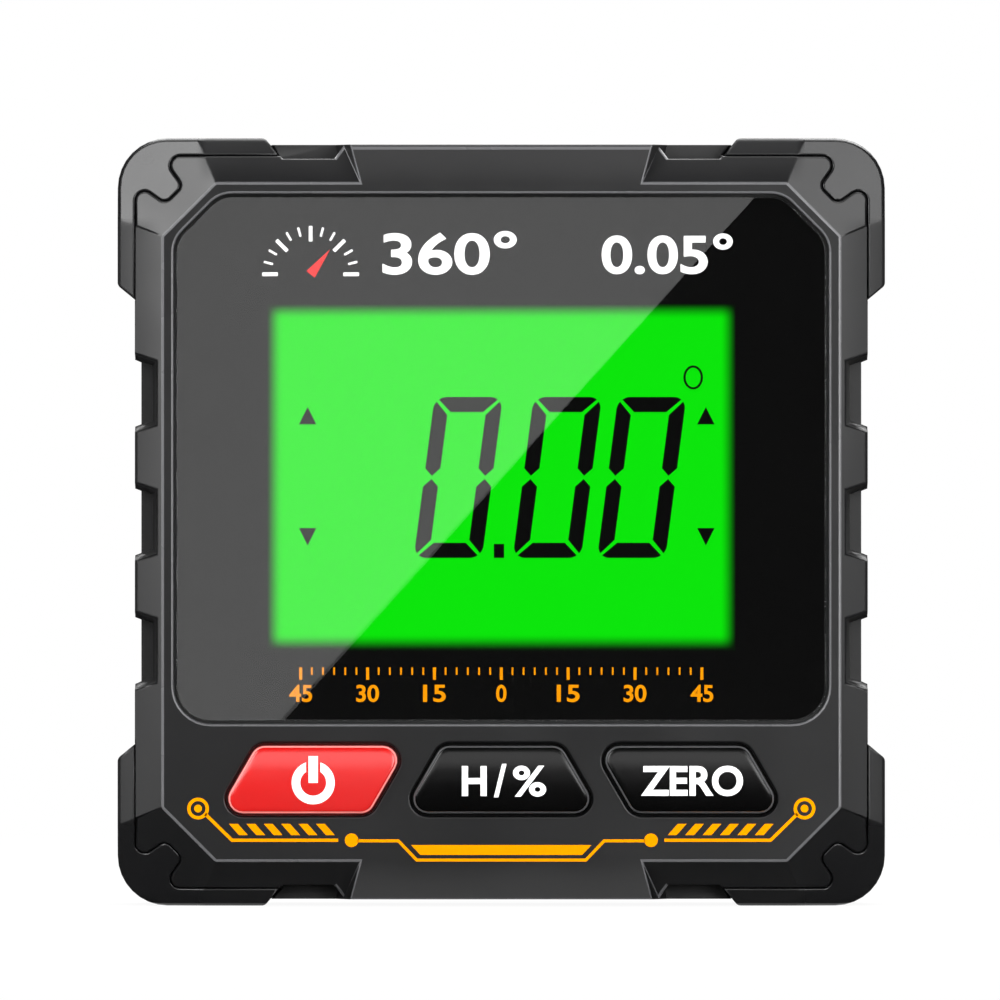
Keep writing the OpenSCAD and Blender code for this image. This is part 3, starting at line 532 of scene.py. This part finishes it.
def rounded(corners, steps=6):
    """A flat outline of (x, z, radius) corners, with its corners rounded."""
    points = []
    for i, (x, z, radius) in enumerate(corners):
        corner = Vector((x, z))
        back = (Vector(corners[i - 1][:2]) - corner).normalized()
        ahead = (Vector(corners[(i + 1) % len(corners)][:2]) - corner).normalized()
        half = math.acos(max(-1, min(1, back.dot(ahead)))) / 2
        centre = corner + (back + ahead).normalized() * radius / math.sin(half)
        start = corner + back * radius / math.tan(half) - centre
        end = corner + ahead * radius / math.tan(half) - centre
        turn = start.angle_signed(end)
        for step in range(steps + 1):
            angle = -turn * step / steps
            points.append(centre + Vector((start.x * math.cos(angle) - start.y * math.sin(angle),
                                           start.x * math.sin(angle) + start.y * math.cos(angle))))
    return points


def grown(corners, d):
    """The same corners moved outwards by d, for an anticlockwise outline."""
    moved = []
    for i, (x, z, radius) in enumerate(corners):
        before, after = corners[i - 1], corners[(i + 1) % len(corners)]
        s = Vector((z - before[1], before[0] - x)).normalized()
        t = Vector((after[1] - z, x - after[0])).normalized()
        shift = (s + t) * d / (1 + s.dot(t))
        moved.append((x + shift.x, z + shift.y, max(radius + d, TIGHTEST_CORNER)))
    return moved


def loft(bm, rings, ring_closed=False):
    """Faces between rings of points, with both ends capped or, for a hoop, joined."""
    loops = [[bm.verts.new(Vector(p) * MM) for p in ring] for ring in rings]
    pairs = list(zip(loops, loops[1:])) + ([(loops[-1], loops[0])] if ring_closed else [])
    for a, b in pairs:
        for i in range(len(a)):
            bm.faces.new((a[i - 1], a[i], b[i], b[i - 1]))
    if not ring_closed:
        bm.faces.new(loops[0])
        bm.faces.new(loops[-1])


def at_depth(outline, y):
    """A flat outline at one depth."""
    return [(p[0], y, p[1]) for p in outline]


def circle(x, z, rx, rz, steps=32):
    """The outline of a circle, or of an oval where the radii differ."""
    turns = [2 * math.pi * i / steps for i in range(steps)]
    return [(x + rx * math.cos(t), z + rz * math.sin(t)) for t in turns]


def stroke(points, width):
    """The outline of a line of that width through the points, mitred at its bends."""
    left, right = [], []
    points = [Vector(p) for p in points]
    for i, p in enumerate(points):
        a = (p - points[max(i - 1, 0)]).normalized()
        b = (points[min(i + 1, len(points) - 1)] - p).normalized()
        a, b = a if a.length else b, b if b.length else a
        side = Vector((-a.y - b.y, a.x + b.x)) * width / 2 / (1 + a.dot(b))
        left.append(p + side)
        right.append(p - side)
    return left + right[::-1]


def print_film(name, outlines, hoops, y, material):
    """A printed film in front of depth y: filled outlines, and hoops of an outer and an inner
    one."""
    bm = bmesh.new()
    for outline in outlines:
        loft(bm, [at_depth(outline, y - FILM), at_depth(outline, y)])
    for outer, inner in hoops:
        loft(bm, [at_depth(outer, y - FILM), at_depth(inner, y - FILM),
                  at_depth(inner, y), at_depth(outer, y)], ring_closed=True)
    bmesh.ops.recalc_face_normals(bm, faces=bm.faces)
    piece(name, meshed(bm, name), material, "housing")


def lettering(text, x0, x1, z0, z1, weight):
    """Bold lettering that fills a box in X and Z, one unit thick along -Y from y = 0."""
    curve = bpy.data.curves.new("lettering", "FONT")
    curve.body = text
    curve.offset = weight
    curve.extrude = 0.5
    curve.resolution_u = 6
    made = bpy.data.objects.new("lettering", curve)
    bpy.context.scene.collection.objects.link(made)
    mesh = as_it_stands(made)
    bpy.data.objects.remove(made)
    bpy.data.curves.remove(curve)
    low = [min(v.co[i] for v in mesh.vertices) for i in range(3)]
    high = [max(v.co[i] for v in mesh.vertices) for i in range(3)]
    for v in mesh.vertices:
        part = [(v.co[i] - low[i]) / (high[i] - low[i]) for i in range(3)]
        v.co = (x0 + part[0] * (x1 - x0), -part[2], z0 + part[1] * (z1 - z0))
    bm = bmesh.new()
    bm.from_mesh(mesh)
    bmesh.ops.remove_doubles(bm, verts=bm.verts, dist=1e-5)
    bpy.data.meshes.remove(mesh)
    return bm


def printed_words(name, words, y, material):
    """Lettering as a printed film in front of depth y."""
    parts = [lettering(*word) for word in words]
    for bm in parts:
        for v in bm.verts:
            v.co = Vector((v.co.x, y + v.co.y * FILM, v.co.z)) * MM
    piece(name, meshed(joined(parts), name), material, "housing")


# Keys

KEY_FLANGE = 0.75               # how far the flange stands out round a key
KEY_FLANGE_FRONT, KEY_FLANGE_BACK = 2.4, 3.2    # its depths behind the face of the case
KEY_STEM, KEY_STEM_FRONT = 1.4, 3.0             # the stem's radius, and where it starts
KEY_LEAN = 30                   # degrees that a leaning side turns from upright
KEY_CORNER = 1.2
KEY_BOW, KEY_BOW_HALF = 0.38, 2.75              # the face drops that far, that far from its middle
KEY_LOW, KEY_HIGH = (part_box("mode_button")[i].z / MM + (KEY_FLANGE, -KEY_FLANGE)[i]
                     for i in (0, 1))
KEY_MID = (KEY_LOW + KEY_HIGH) / 2
# inset from a key's edge, and drop of its rounded rim below the face
KEY_RIM = [(0.0, 0.4), (0.03, 0.26), (0.17, 0.09), (0.24, 0.03), (0.34, 0.0), (0.6, 0.0),
           (0.9, 0.0), (1.2, 0.0), (1.6, 0.0), (2.0, 0.0), (2.4, 0.0)]
KEY_HIGHLIGHT_RING = 4             # the ring of faces painted pale as a highlight
KEY_SIDE_PIECES = 10
LEGEND_STRIP = 0.3              # height of the strips that bend over a key's face
LEGEND_PROUD, LEGEND_SUNK = 0.008, 0.05


def key_corners(x, width, left, right):
    """The corners of a key about x, with the lean of its left and right sides."""
    s = (KEY_HIGH - KEY_LOW) * math.tan(math.radians(KEY_LEAN)) / 2
    return [(x - width / 2 - left * s, KEY_LOW, KEY_CORNER),
            (x + width / 2 - right * s, KEY_LOW, KEY_CORNER),
            (x + width / 2 + right * s, KEY_HIGH, KEY_CORNER),
            (x - width / 2 + left * s, KEY_HIGH, KEY_CORNER)]


def key_face(z):
    """Height of a key's face above the front of the case: bowed from top to bottom."""
    return KEY_PROUD - 0.01 - KEY_BOW * ((z - KEY_MID) / KEY_BOW_HALF) ** 2


def key_outline(corners, growth):
    """A key's rounded outline, with its straight sides split so that they can follow the bow."""
    points = rounded(grown(corners, growth))
    outline = []
    for i, (x, z) in enumerate(points):
        outline.append((x, z))
        if (i + 1) % (len(points) // len(corners)) == 0:
            next_x, next_z = points[(i + 1) % len(points)]
            outline += [(x + (next_x - x) * k / KEY_SIDE_PIECES,
                         z + (next_z - z) * k / KEY_SIDE_PIECES)
                        for k in range(1, KEY_SIDE_PIECES)]
    return outline


def crowned_key(body, node, corners, material, rim):
    """A key: a bowed cap with a rim painted paler as a highlight, over a flange that keeps it in
    the case, and a stem behind it."""
    x = sum(c[0] for c in corners) / 4
    bm = bmesh.new()
    flange = key_outline(corners, KEY_FLANGE)
    skirt = key_outline(corners, 0)
    rings = [at_depth(flange, FACE_Y + KEY_FLANGE_BACK),
             at_depth(flange, FACE_Y + KEY_FLANGE_FRONT),
             at_depth(skirt, FACE_Y + KEY_FLANGE_FRONT)]
    for inset, drop in KEY_RIM:
        rings.append([(px, FACE_Y - key_face(pz) + drop, pz)
                      for px, pz in key_outline(corners, -inset)])
    loft(bm, rings)
    stem = circle(x, KEY_MID, KEY_STEM, KEY_STEM)
    loft(bm, [at_depth(stem, FACE_Y + KEY_STEM_FRONT), at_depth(stem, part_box(node)[1].y / MM)])
    bmesh.ops.recalc_face_normals(bm, faces=bm.faces)
    for face in bm.faces:
        face.smooth = True
    mesh = meshed(bm, body + "_cap")
    mesh.set_sharp_from_angle(angle=math.radians(40))
    piece(body + "_cap", mesh, material, body, node)
    # the ring of faces round the cap takes the paler rim colour: a painted highlight
    mesh.materials.append(rim)
    for i in range(len(skirt)):
        mesh.polygons[KEY_HIGHLIGHT_RING * len(skirt) + i].material_index = 1


def key_legend(name, parts, body):
    """Lays a legend on a key's face: cut into strips, so that it follows the bow."""
    for bm in parts:
        low = min(v.co.z for v in bm.verts)
        high = max(v.co.z for v in bm.verts)
        for i in range(1, int((high - low) / LEGEND_STRIP) + 1):
            bmesh.ops.bisect_plane(bm, geom=bm.verts[:] + bm.edges[:] + bm.faces[:],
                                   plane_co=(0, 0, low + LEGEND_STRIP * i), plane_no=(0, 0, 1))
        for v in bm.verts:
            depth = -LEGEND_PROUD if v.co.y < -0.5 else LEGEND_SUNK
            v.co = Vector((v.co.x, FACE_Y - key_face(v.co.z) + depth, v.co.z)) * MM
        bmesh.ops.recalc_face_normals(bm, faces=bm.faces)
    piece(name, meshed(joined(parts), name), white_ink, body)


def power_symbol(x, z):
    """The broken ring and bar of a power switch, one unit thick along -Y from y = 0."""
    bm = bmesh.new()
    outer, inner, gap = 1.74, 1.05, 0.585
    ring = []
    for radius, way in ((outer, 1), (inner, -1)):
        start = math.acos(gap / radius)
        turns = [math.pi - start + (math.pi + 2 * start) * i / 40 for i in range(41)][::way]
        ring += [(x + radius * math.cos(t), z + radius * math.sin(t)) for t in turns]
    bar = stroke([(x, z - 0.01), (x, z + 2.15)], 0.75)
    for outline in (ring, bar):
        loft(bm, [at_depth(outline, -1), at_depth(outline, 0)])
    for v in bm.verts:
        v.co /= MM
    return bm


crowned_key("power_key", "power_button", key_corners(-15.2125, 12.275, 1, 1), red_key_abs,
            red_highlight_rim_abs)
crowned_key("mode_key", "mode_button", key_corners(0, 12.85, 1, -1), black_key_abs, black_highlight_rim_abs)
crowned_key("zero_key", "zero_button", key_corners(15.2125, 12.275, -1, -1), black_key_abs,
            black_highlight_rim_abs)
key_legend("power_legend", [power_symbol(-15.18, 9.95)], "power_key")
key_legend("mode_legend", [lettering("H", -3.18, -1.18, 8.88, 11.3, 0.03),
                           lettering("/", -0.6, 0.42, 8.77, 11.48, 0.02),
                           lettering("%", 0.94, 3.62, 8.83, 11.33, 0.02)], "mode_key")
key_legend("zero_legend", [lettering("ZERO", 11.28, 19.51, 8.87, 11.33, 0.03)], "zero_key")


# Display figures

FIGURE_SLANT = 0.13
FIGURE_LOW = 28.09              # the foot of the figures
FIGURE_LEFTS = (-7.08, 0.92, 7.74)
FIGURE_SIZE = (5.52, 13.0, 1.22)    # width, height and thickness of the segments
ARROW_HALF, ARROW_RISE = 0.7, 1.4


def bar_of_digit(outline, left, low):
    """A segment's outline with the slant of the figures, from a digit's left foot."""
    return [(left + u + FIGURE_SLANT * v, low + v) for u, v in outline]


def zero_segments(wide, high, thick):
    """The six lit segments of a nought, mitred at the corners and pointed in the middle."""
    slit, bend = 0.24, 1.0
    swing = slit * 0.5 / bend

    def corner_arc(start, end):
        turns = [start + (end - start) * i / 4 for i in range(5)]
        return [(bend + bend * math.cos(t), high - bend + bend * math.sin(t)) for t in turns]

    top_left = corner_arc(0.75 * math.pi - swing, 0.5 * math.pi)
    top = top_left + [(wide - u, v) for u, v in top_left[::-1]]
    top += [(wide - thick - slit, high - thick), (thick + slit, high - thick)]
    middle = high / 2 + 0.13
    left = corner_arc(math.pi, 0.75 * math.pi + swing)
    left += [(thick, high - thick - slit), (thick, middle + thick / 2), (thick / 2, middle),
             (0, middle + thick / 2)]
    upper = [top, left, [(wide - u, v) for u, v in left]]
    return upper + [[(u, high - v) for u, v in outline] for outline in upper]


figures = [bar_of_digit(outline, left, FIGURE_LOW)
           for left in FIGURE_LEFTS for outline in zero_segments(*FIGURE_SIZE)]
figures.append([(-0.6, FIGURE_LOW), (0.226, FIGURE_LOW), (0.226, 29.22), (-0.6, 29.22)])
for x in (-15.645, 16.525):
    for foot, rise in ((38.88, ARROW_RISE), (30.5, -ARROW_RISE)):
        figures.append([(x - ARROW_HALF, foot), (x + ARROW_HALF, foot), (x, foot + rise)])
degree = (circle(15.5, 42.67, 0.79, 0.97), circle(15.5, 42.67, 0.61, 0.79))
print_film("display_figures", figures, [degree], GLASS_Y - 0.005, segment_ink)


# Printing behind the lens: a scale of degrees, a small dial and plain figures

def bar_row_tree():
    """Geometry nodes for a row of equal printed bars, upright or leaning."""
    tree = bpy.data.node_groups.new("printed_bar_row", "GeometryNodeTree")
    tree.interface.new_socket("Geometry", in_out="OUTPUT", socket_type="NodeSocketGeometry")
    for name, kind in (("Count", "Int"), ("Pitch", "Float"), ("Width", "Float"),
                       ("Height", "Float"), ("Film", "Float"), ("Lean", "Float"),
                       ("Start", "Vector"), ("Ink", "Material")):
        tree.interface.new_socket(name, in_out="INPUT", socket_type="NodeSocket" + kind)
    size = add(tree, "NodeGroupInput").outputs
    step = add(tree, "ShaderNodeCombineXYZ", {"X": size["Pitch"]})
    row = add(tree, "GeometryNodeMeshLine",
              {"Count": size["Count"], "Start Location": size["Start"], "Offset": step.outputs[0]})
    box = add(tree, "ShaderNodeCombineXYZ", {"X": size["Width"], "Y": size["Film"],
                                             "Z": size["Height"]})
    bar = add(tree, "GeometryNodeMeshCube", {"Size": box.outputs[0]})
    position = add(tree, "GeometryNodeInputPosition")
    spot = add(tree, "ShaderNodeSeparateXYZ", {0: position.outputs[0]})
    slant = add(tree, "ShaderNodeMath", {0: spot.outputs["Z"], 1: size["Lean"]},
                operation="MULTIPLY")
    shear = add(tree, "ShaderNodeCombineXYZ", {"X": slant.outputs[0]})
    leaning = add(tree, "GeometryNodeSetPosition", {"Geometry": bar.outputs["Mesh"],
                                                    "Offset": shear.outputs[0]})
    bars = add(tree, "GeometryNodeInstanceOnPoints", {"Points": row.outputs["Mesh"],
                                                      "Instance": leaning.outputs["Geometry"]})
    real = add(tree, "GeometryNodeRealizeInstances", {"Geometry": bars.outputs["Instances"]})
    inked = add(tree, "GeometryNodeSetMaterial", {"Geometry": real.outputs["Geometry"],
                                                  "Material": size["Ink"]})
    add(tree, "NodeGroupOutput", {"Geometry": inked.outputs["Geometry"]})
    return tree


bar_row = bar_row_tree()


def printed_bars(name, ink, **sizes):
    """A row of printed bars as a plain mesh. Lengths are in millimetres."""
    host = bpy.data.objects.new(name + "_host", bpy.data.meshes.new(name + "_host"))
    bpy.context.scene.collection.objects.link(host)
    modifier = host.modifiers.new("bars", "NODES")
    modifier.node_group = bar_row
    for socket in bar_row.interface.items_tree:
        if socket.in_out == "INPUT":
            value = ink if socket.name == "Ink" else sizes[socket.name.lower()]
            if socket.socket_type == "NodeSocketFloat" and socket.name != "Lean":
                value *= MM
            elif socket.socket_type == "NodeSocketVector":
                value = [v * MM for v in value]
            modifier[socket.identifier] = value
    mesh = as_it_stands(host)
    bpy.data.objects.remove(host)
    mesh.name = name
    piece(name, mesh, ink, "housing")


PRINT_Y = LENS_BACK_Y - 0.015
SCALE_PITCH = 0.9
SCALE_LEFT = -18 * SCALE_PITCH
MAIN_PITCH = 6 * SCALE_PITCH
printed_bars("scale_fine_ticks", orange_ink, count=37, pitch=SCALE_PITCH, width=0.14, height=0.6,
             film=FILM, lean=0.0, start=(SCALE_LEFT, PRINT_Y - 0.01, 18.95))
printed_bars("scale_main_ticks", orange_ink, count=7, pitch=MAIN_PITCH, width=0.24, height=1.0,
             film=0.024, lean=0.0, start=(SCALE_LEFT, PRINT_Y - 0.01, 18.75))
numbers = []
for i, number in enumerate(("45", "30", "15", "0", "15", "30", "45")):
    x, half = (i - 3) * MAIN_PITCH, 0.42 if number == "0" else 0.92
    numbers.append((number, x - half, x + half, 16.45, 17.85, 0.02))
printed_words("scale_numbers", numbers, PRINT_Y, orange_ink)

DIAL_MIDDLE, DIAL_RADIUS = Vector((-15.4, 51.0)), 3.9
POINTER_ANGLE, POINTER_LONG, POINTER_HALF = 52, 2.55, 0.42


def dial_ray(degrees):
    """The way out from the dial's middle at an angle."""
    turn = math.radians(degrees)
    return Vector((math.cos(turn), math.sin(turn)))


ticks = []
for i in range(13):
    long, width = (1.25, 0.3) if i % 3 == 0 else (0.75, 0.18)
    ray = dial_ray(15 * i)
    ticks.append(stroke([DIAL_MIDDLE + ray * (DIAL_RADIUS - long),
                         DIAL_MIDDLE + ray * DIAL_RADIUS], width))
print_film("dial_ticks", ticks, [], PRINT_Y, white_ink)
ray = dial_ray(POINTER_ANGLE)
side = Vector((-ray.y, ray.x)) * POINTER_HALF
pointer = [DIAL_MIDDLE - side, DIAL_MIDDLE + ray * POINTER_LONG, DIAL_MIDDLE + side]
print_film("dial_pointer", [pointer], [], PRINT_Y, red_ink)
printed_words("range_figures", [("360°", -9.6, 1.25, 50.95, 54.5, 0.02),
                                ("0.05°", 8.1, 18.7, 51.0, 54.3, 0.02)], PRINT_Y, white_ink)


# Orange trim on the front face

RING_X, RING_Z = 24.48, 7.86    # the middle of the ring at each end
LINE_Z = 5.304                  # the height of the outer lines
BAND_Z, BAND_LOW = 5.255, 3.705     # the heights of the centre line
trim_lines, trim_hoops = [], []
for s in (-1, 1):
    trim_hoops.append((circle(s * RING_X, RING_Z, 0.88, 0.88),
                       circle(s * RING_X, RING_Z, 0.605, 0.605)))
    trim_lines.append(circle(s * RING_X, RING_Z, 0.315, 0.315))
    trim_lines.append(stroke([(s * 23.9, 7.42), (s * 21.74, LINE_Z), (s * 13.17, LINE_Z)], 0.26))
    trim_lines.append(circle(s * 12.085, LINE_Z, 0.55, 0.55))
trim_lines.append(stroke([(-11.6, BAND_Z), (-8.307, BAND_Z), (-6.83, BAND_LOW), (6.83, BAND_LOW),
                          (8.307, BAND_Z), (11.6, BAND_Z)], 0.24))
trim_lines.append([(-6.53, 4.117), (6.53, 4.117), (7.282, 4.917), (-7.282, 4.917)])
print_film("trim_lines", trim_lines, trim_hoops, FACE_Y, orange_ink)
for side_name, s in (("left", -1), ("right", 1)):
    printed_bars("trim_hatch_" + side_name, orange_ink, count=6, pitch=s * -1.405, width=0.715,
                 height=0.912, film=FILM, lean=s * 0.885,
                 start=(s * 21.225, FACE_Y - 0.01, 6.172))


# Finishes of the CAD parts that stay

for node, material in {
        "lens_mask": mask_ink, "display_glass": display, "display_frame": nylon,
        "backlight_panel": guide, "backlight_lamp": lamp_epoxy, "connector_strip": rubber,
        "main_board": board, "controller_chip": epoxy, "tilt_sensor": tinned,
        "board_crystal": tinned, "chip_capacitors": ceramic, "power_switch": switch_nylon,
        "mode_switch": switch_nylon, "zero_switch": switch_nylon, "power_plunger": plunger_acetal,
        "mode_plunger": plunger_acetal, "zero_plunger": plunger_acetal, "board_screws": zinc,
        "case_screws": zinc, "base_magnet_left": nickel, "base_magnet_right": nickel,
        "battery_left": left_cell, "battery_right": right_cell, "contact_positive": nickel,
        "contact_negative": nickel, "contact_bridge": nickel, "contact_spring_left": nickel,
        "contact_spring_right": nickel}.items():
    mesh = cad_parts[node].data
    mesh.materials.clear()
    mesh.materials.append(material)


# Studio, in metres

def white_to_eye(tree):
    """1 for rays that should meet a white background: from the camera, gloss or glass."""
    path = add(tree, "ShaderNodeLightPath").outputs
    eye = add(tree, "ShaderNodeMath", {0: path["Is Camera Ray"], 1: path["Is Glossy Ray"]},
              operation="MAXIMUM")
    return add(tree, "ShaderNodeMath", {0: eye.outputs[0], 1: path["Is Transmission Ray"]},
               operation="MAXIMUM").outputs[0]


def stage_sheet(name, corners, faces, material):
    """A flat sheet of the studio, which isn't part of the gauge."""
    mesh = bpy.data.meshes.new(name)
    mesh.from_pydata(corners, [], faces)
    mesh.materials.append(material)
    made = bpy.data.objects.new(name, mesh)
    bpy.context.scene.collection.objects.link(made)
    return made


def pale_paper():
    """Pale paper: white to the eye, and still darkened by the gauge's shadow."""
    material, tree, shader, place = new_finish("pale_paper", Base_Color=linear("#f4f4f4"),
                                               Roughness=0.9)
    glow = add(tree, "ShaderNodeEmission", {"Strength": 1.0})
    away = add(tree, "ShaderNodeVectorMath", {0: place}, operation="LENGTH")
    plain = add(tree, "ShaderNodeMapRange", {"Value": away.outputs["Value"], "From Min": 0.05,
                                             "From Max": 0.6, "To Min": 0.92, "To Max": 1.0})
    share = add(tree, "ShaderNodeMath", {0: white_to_eye(tree), 1: plain.outputs["Result"]},
                operation="MULTIPLY")
    lift = add(tree, "ShaderNodeMixShader", {0: share.outputs[0], 1: shader.outputs[0],
                                             2: glow.outputs[0]})
    under = add(tree, "ShaderNodeMixShader",
                {0: add(tree, "ShaderNodeNewGeometry").outputs["Backfacing"], 1: lift.outputs[0],
                 2: add(tree, "ShaderNodeBsdfTransparent").outputs[0]})
    tree.links.new(under.outputs[0], tree.nodes["Material Output"].inputs["Surface"])
    return material


stage_sheet("floor", [(-4, -4, 0), (4, -4, 0), (4, 4, 0), (-4, 4, 0)], [range(4)], pale_paper())

world = bpy.data.worlds.new("studio")
bpy.context.scene.world = world
world.use_nodes = True
tree = world.node_tree
tree.nodes.clear()
mixed = add(tree, "ShaderNodeMixShader", {
    0: white_to_eye(tree),
    1: add(tree, "ShaderNodeBackground", {"Color": (1, 1, 1, 1), "Strength": 0.25}).outputs[0],
    2: add(tree, "ShaderNodeBackground", {"Color": (1, 1, 1, 1), "Strength": 1.0}).outputs[0]})
add(tree, "ShaderNodeOutputWorld", {"Surface": mixed.outputs[0]})


def gloss_card(name, corners, faces, finish_name, strength):
    """A card with an even glow, kept out of every ray but a reflection."""
    material = bpy.data.materials.new(finish_name)
    material.use_nodes = True
    tree = material.node_tree
    tree.nodes.clear()
    light = add(tree, "ShaderNodeEmission", {"Strength": strength})
    add(tree, "ShaderNodeOutputMaterial", {"Surface": light.outputs[0]})
    sheet = stage_sheet(name, corners, faces, material)
    sheet.visible_camera = sheet.visible_diffuse = sheet.visible_shadow = False


# the dark side of the studio: all round but for a low gap behind the gauge, and over the floor
CURTAIN_FAR, APRON_BACK, APRON_Z = 2.6, 2.0, 0.0002
rows, columns = 9, 36
vertices = [(CURTAIN_FAR * math.cos(e) * math.sin(a), -CURTAIN_FAR * math.cos(e) * math.cos(a),
             CURTAIN_FAR * math.sin(e))
            for e in [math.radians(-2 + 92 * r / rows) for r in range(rows + 1)]
            for a in [math.radians(-180 + 360 * c / columns) for c in range(columns + 1)]]
faces = [(r * (columns + 1) + c, r * (columns + 1) + c + 1, (r + 1) * (columns + 1) + c + 1,
          (r + 1) * (columns + 1) + c) for r in range(rows) for c in range(columns)
         if r > 0 or 1 < c < columns - 2]
apron = [(x, y, APRON_Z) for x, y in ((-CURTAIN_FAR, APRON_BACK), (-CURTAIN_FAR, -CURTAIN_FAR),
                                      (CURTAIN_FAR, -CURTAIN_FAR), (CURTAIN_FAR, APRON_BACK))]
faces.append(range(len(vertices), len(vertices) + 4))
gloss_card("curtain", vertices + apron, faces, "dark_curtain", 0.04)

CAMERA_X, CAMERA_Z, CAMERA_FAR = -0.105 * MM, 32.77 * MM, 3.0

# a card near the camera, whose slanting edge draws the glint across the lens; its corners are
# given in millimetres, where they are seen on the front face
CARD_FAR = 1.2
SPREAD = 1 + CARD_FAR / CAMERA_FAR
card = [(CAMERA_X + (x * MM - CAMERA_X) * SPREAD, FACE_Y * MM - CARD_FAR,
         CAMERA_Z + (z * MM - CAMERA_Z) * SPREAD)
        for x, z in ((20.48 + 8.1, 57.23 + 9), (-17.62 - 8.1, 15.0 - 9), (-60, 6), (-60, 66))]
gloss_card("glint_card", card, [range(4)], "bright_card", 1.15)


def softbox(name, azimuth, elevation, far, size, radiance):
    """A soft lamp: azimuth counts from the camera to the right, elevation from the ground."""
    a, e = math.radians(azimuth), math.radians(elevation)
    lamp = bpy.data.lights.new(name, "AREA")
    lamp.shape = "RECTANGLE"
    lamp.size, lamp.size_y = size
    lamp.energy = radiance * math.pi * size[0] * size[1]
    made = bpy.data.objects.new(name, lamp)
    away = Vector((math.sin(a) * math.cos(e), -math.cos(a) * math.cos(e), math.sin(e)))
    made.location = away * far + Vector((0, 0, MID_Z * MM))
    made.rotation_euler = away.to_track_quat("Z", "Y").to_euler()
    made.visible_camera = False
    bpy.context.scene.collection.objects.link(made)


softbox("upper_left_box", -50.8, 37.8, 0.9, (0.42, 0.42), 7.5)
softbox("upper_right_box", 50.8, 37.8, 0.9, (0.42, 0.42), 3.9)
softbox("left_box", -60, 14, 0.4, (0.13, 0.18), 7.2)
softbox("right_box", 60, 14, 0.4, (0.13, 0.18), 4.4)
softbox("front_box", 0, 20, 1.3, (1.1, 0.42), 1.7)
softbox("near_right_box", 26, 8, 0.3, (0.1, 0.16), 8.5)
softbox("near_left_box", -26, 8, 0.3, (0.1, 0.16), 2.0)
softbox("back_box", 170, 44, 1.0, (0.9, 0.45), 7.0)
softbox("overhead_box", 0, 106, 1.2, (1.6, 0.5), 4.0)

SENSOR = 36                     # width of the camera's sensor
PICTURE, PIXELS_PER_MM = 1000, 12.387
camera = bpy.data.objects.new("camera", bpy.data.cameras.new("camera"))
bpy.context.scene.collection.objects.link(camera)
camera.location = (CAMERA_X, FACE_Y * MM - CAMERA_FAR, CAMERA_Z)
camera.rotation_euler = (math.pi / 2, 0, 0)
camera.data.lens = SENSOR * CAMERA_FAR / (PICTURE / PIXELS_PER_MM * MM)
camera.data.sensor_width = SENSOR
bpy.context.scene.camera = camera
bpy.context.scene.view_settings.view_transform = "Standard"
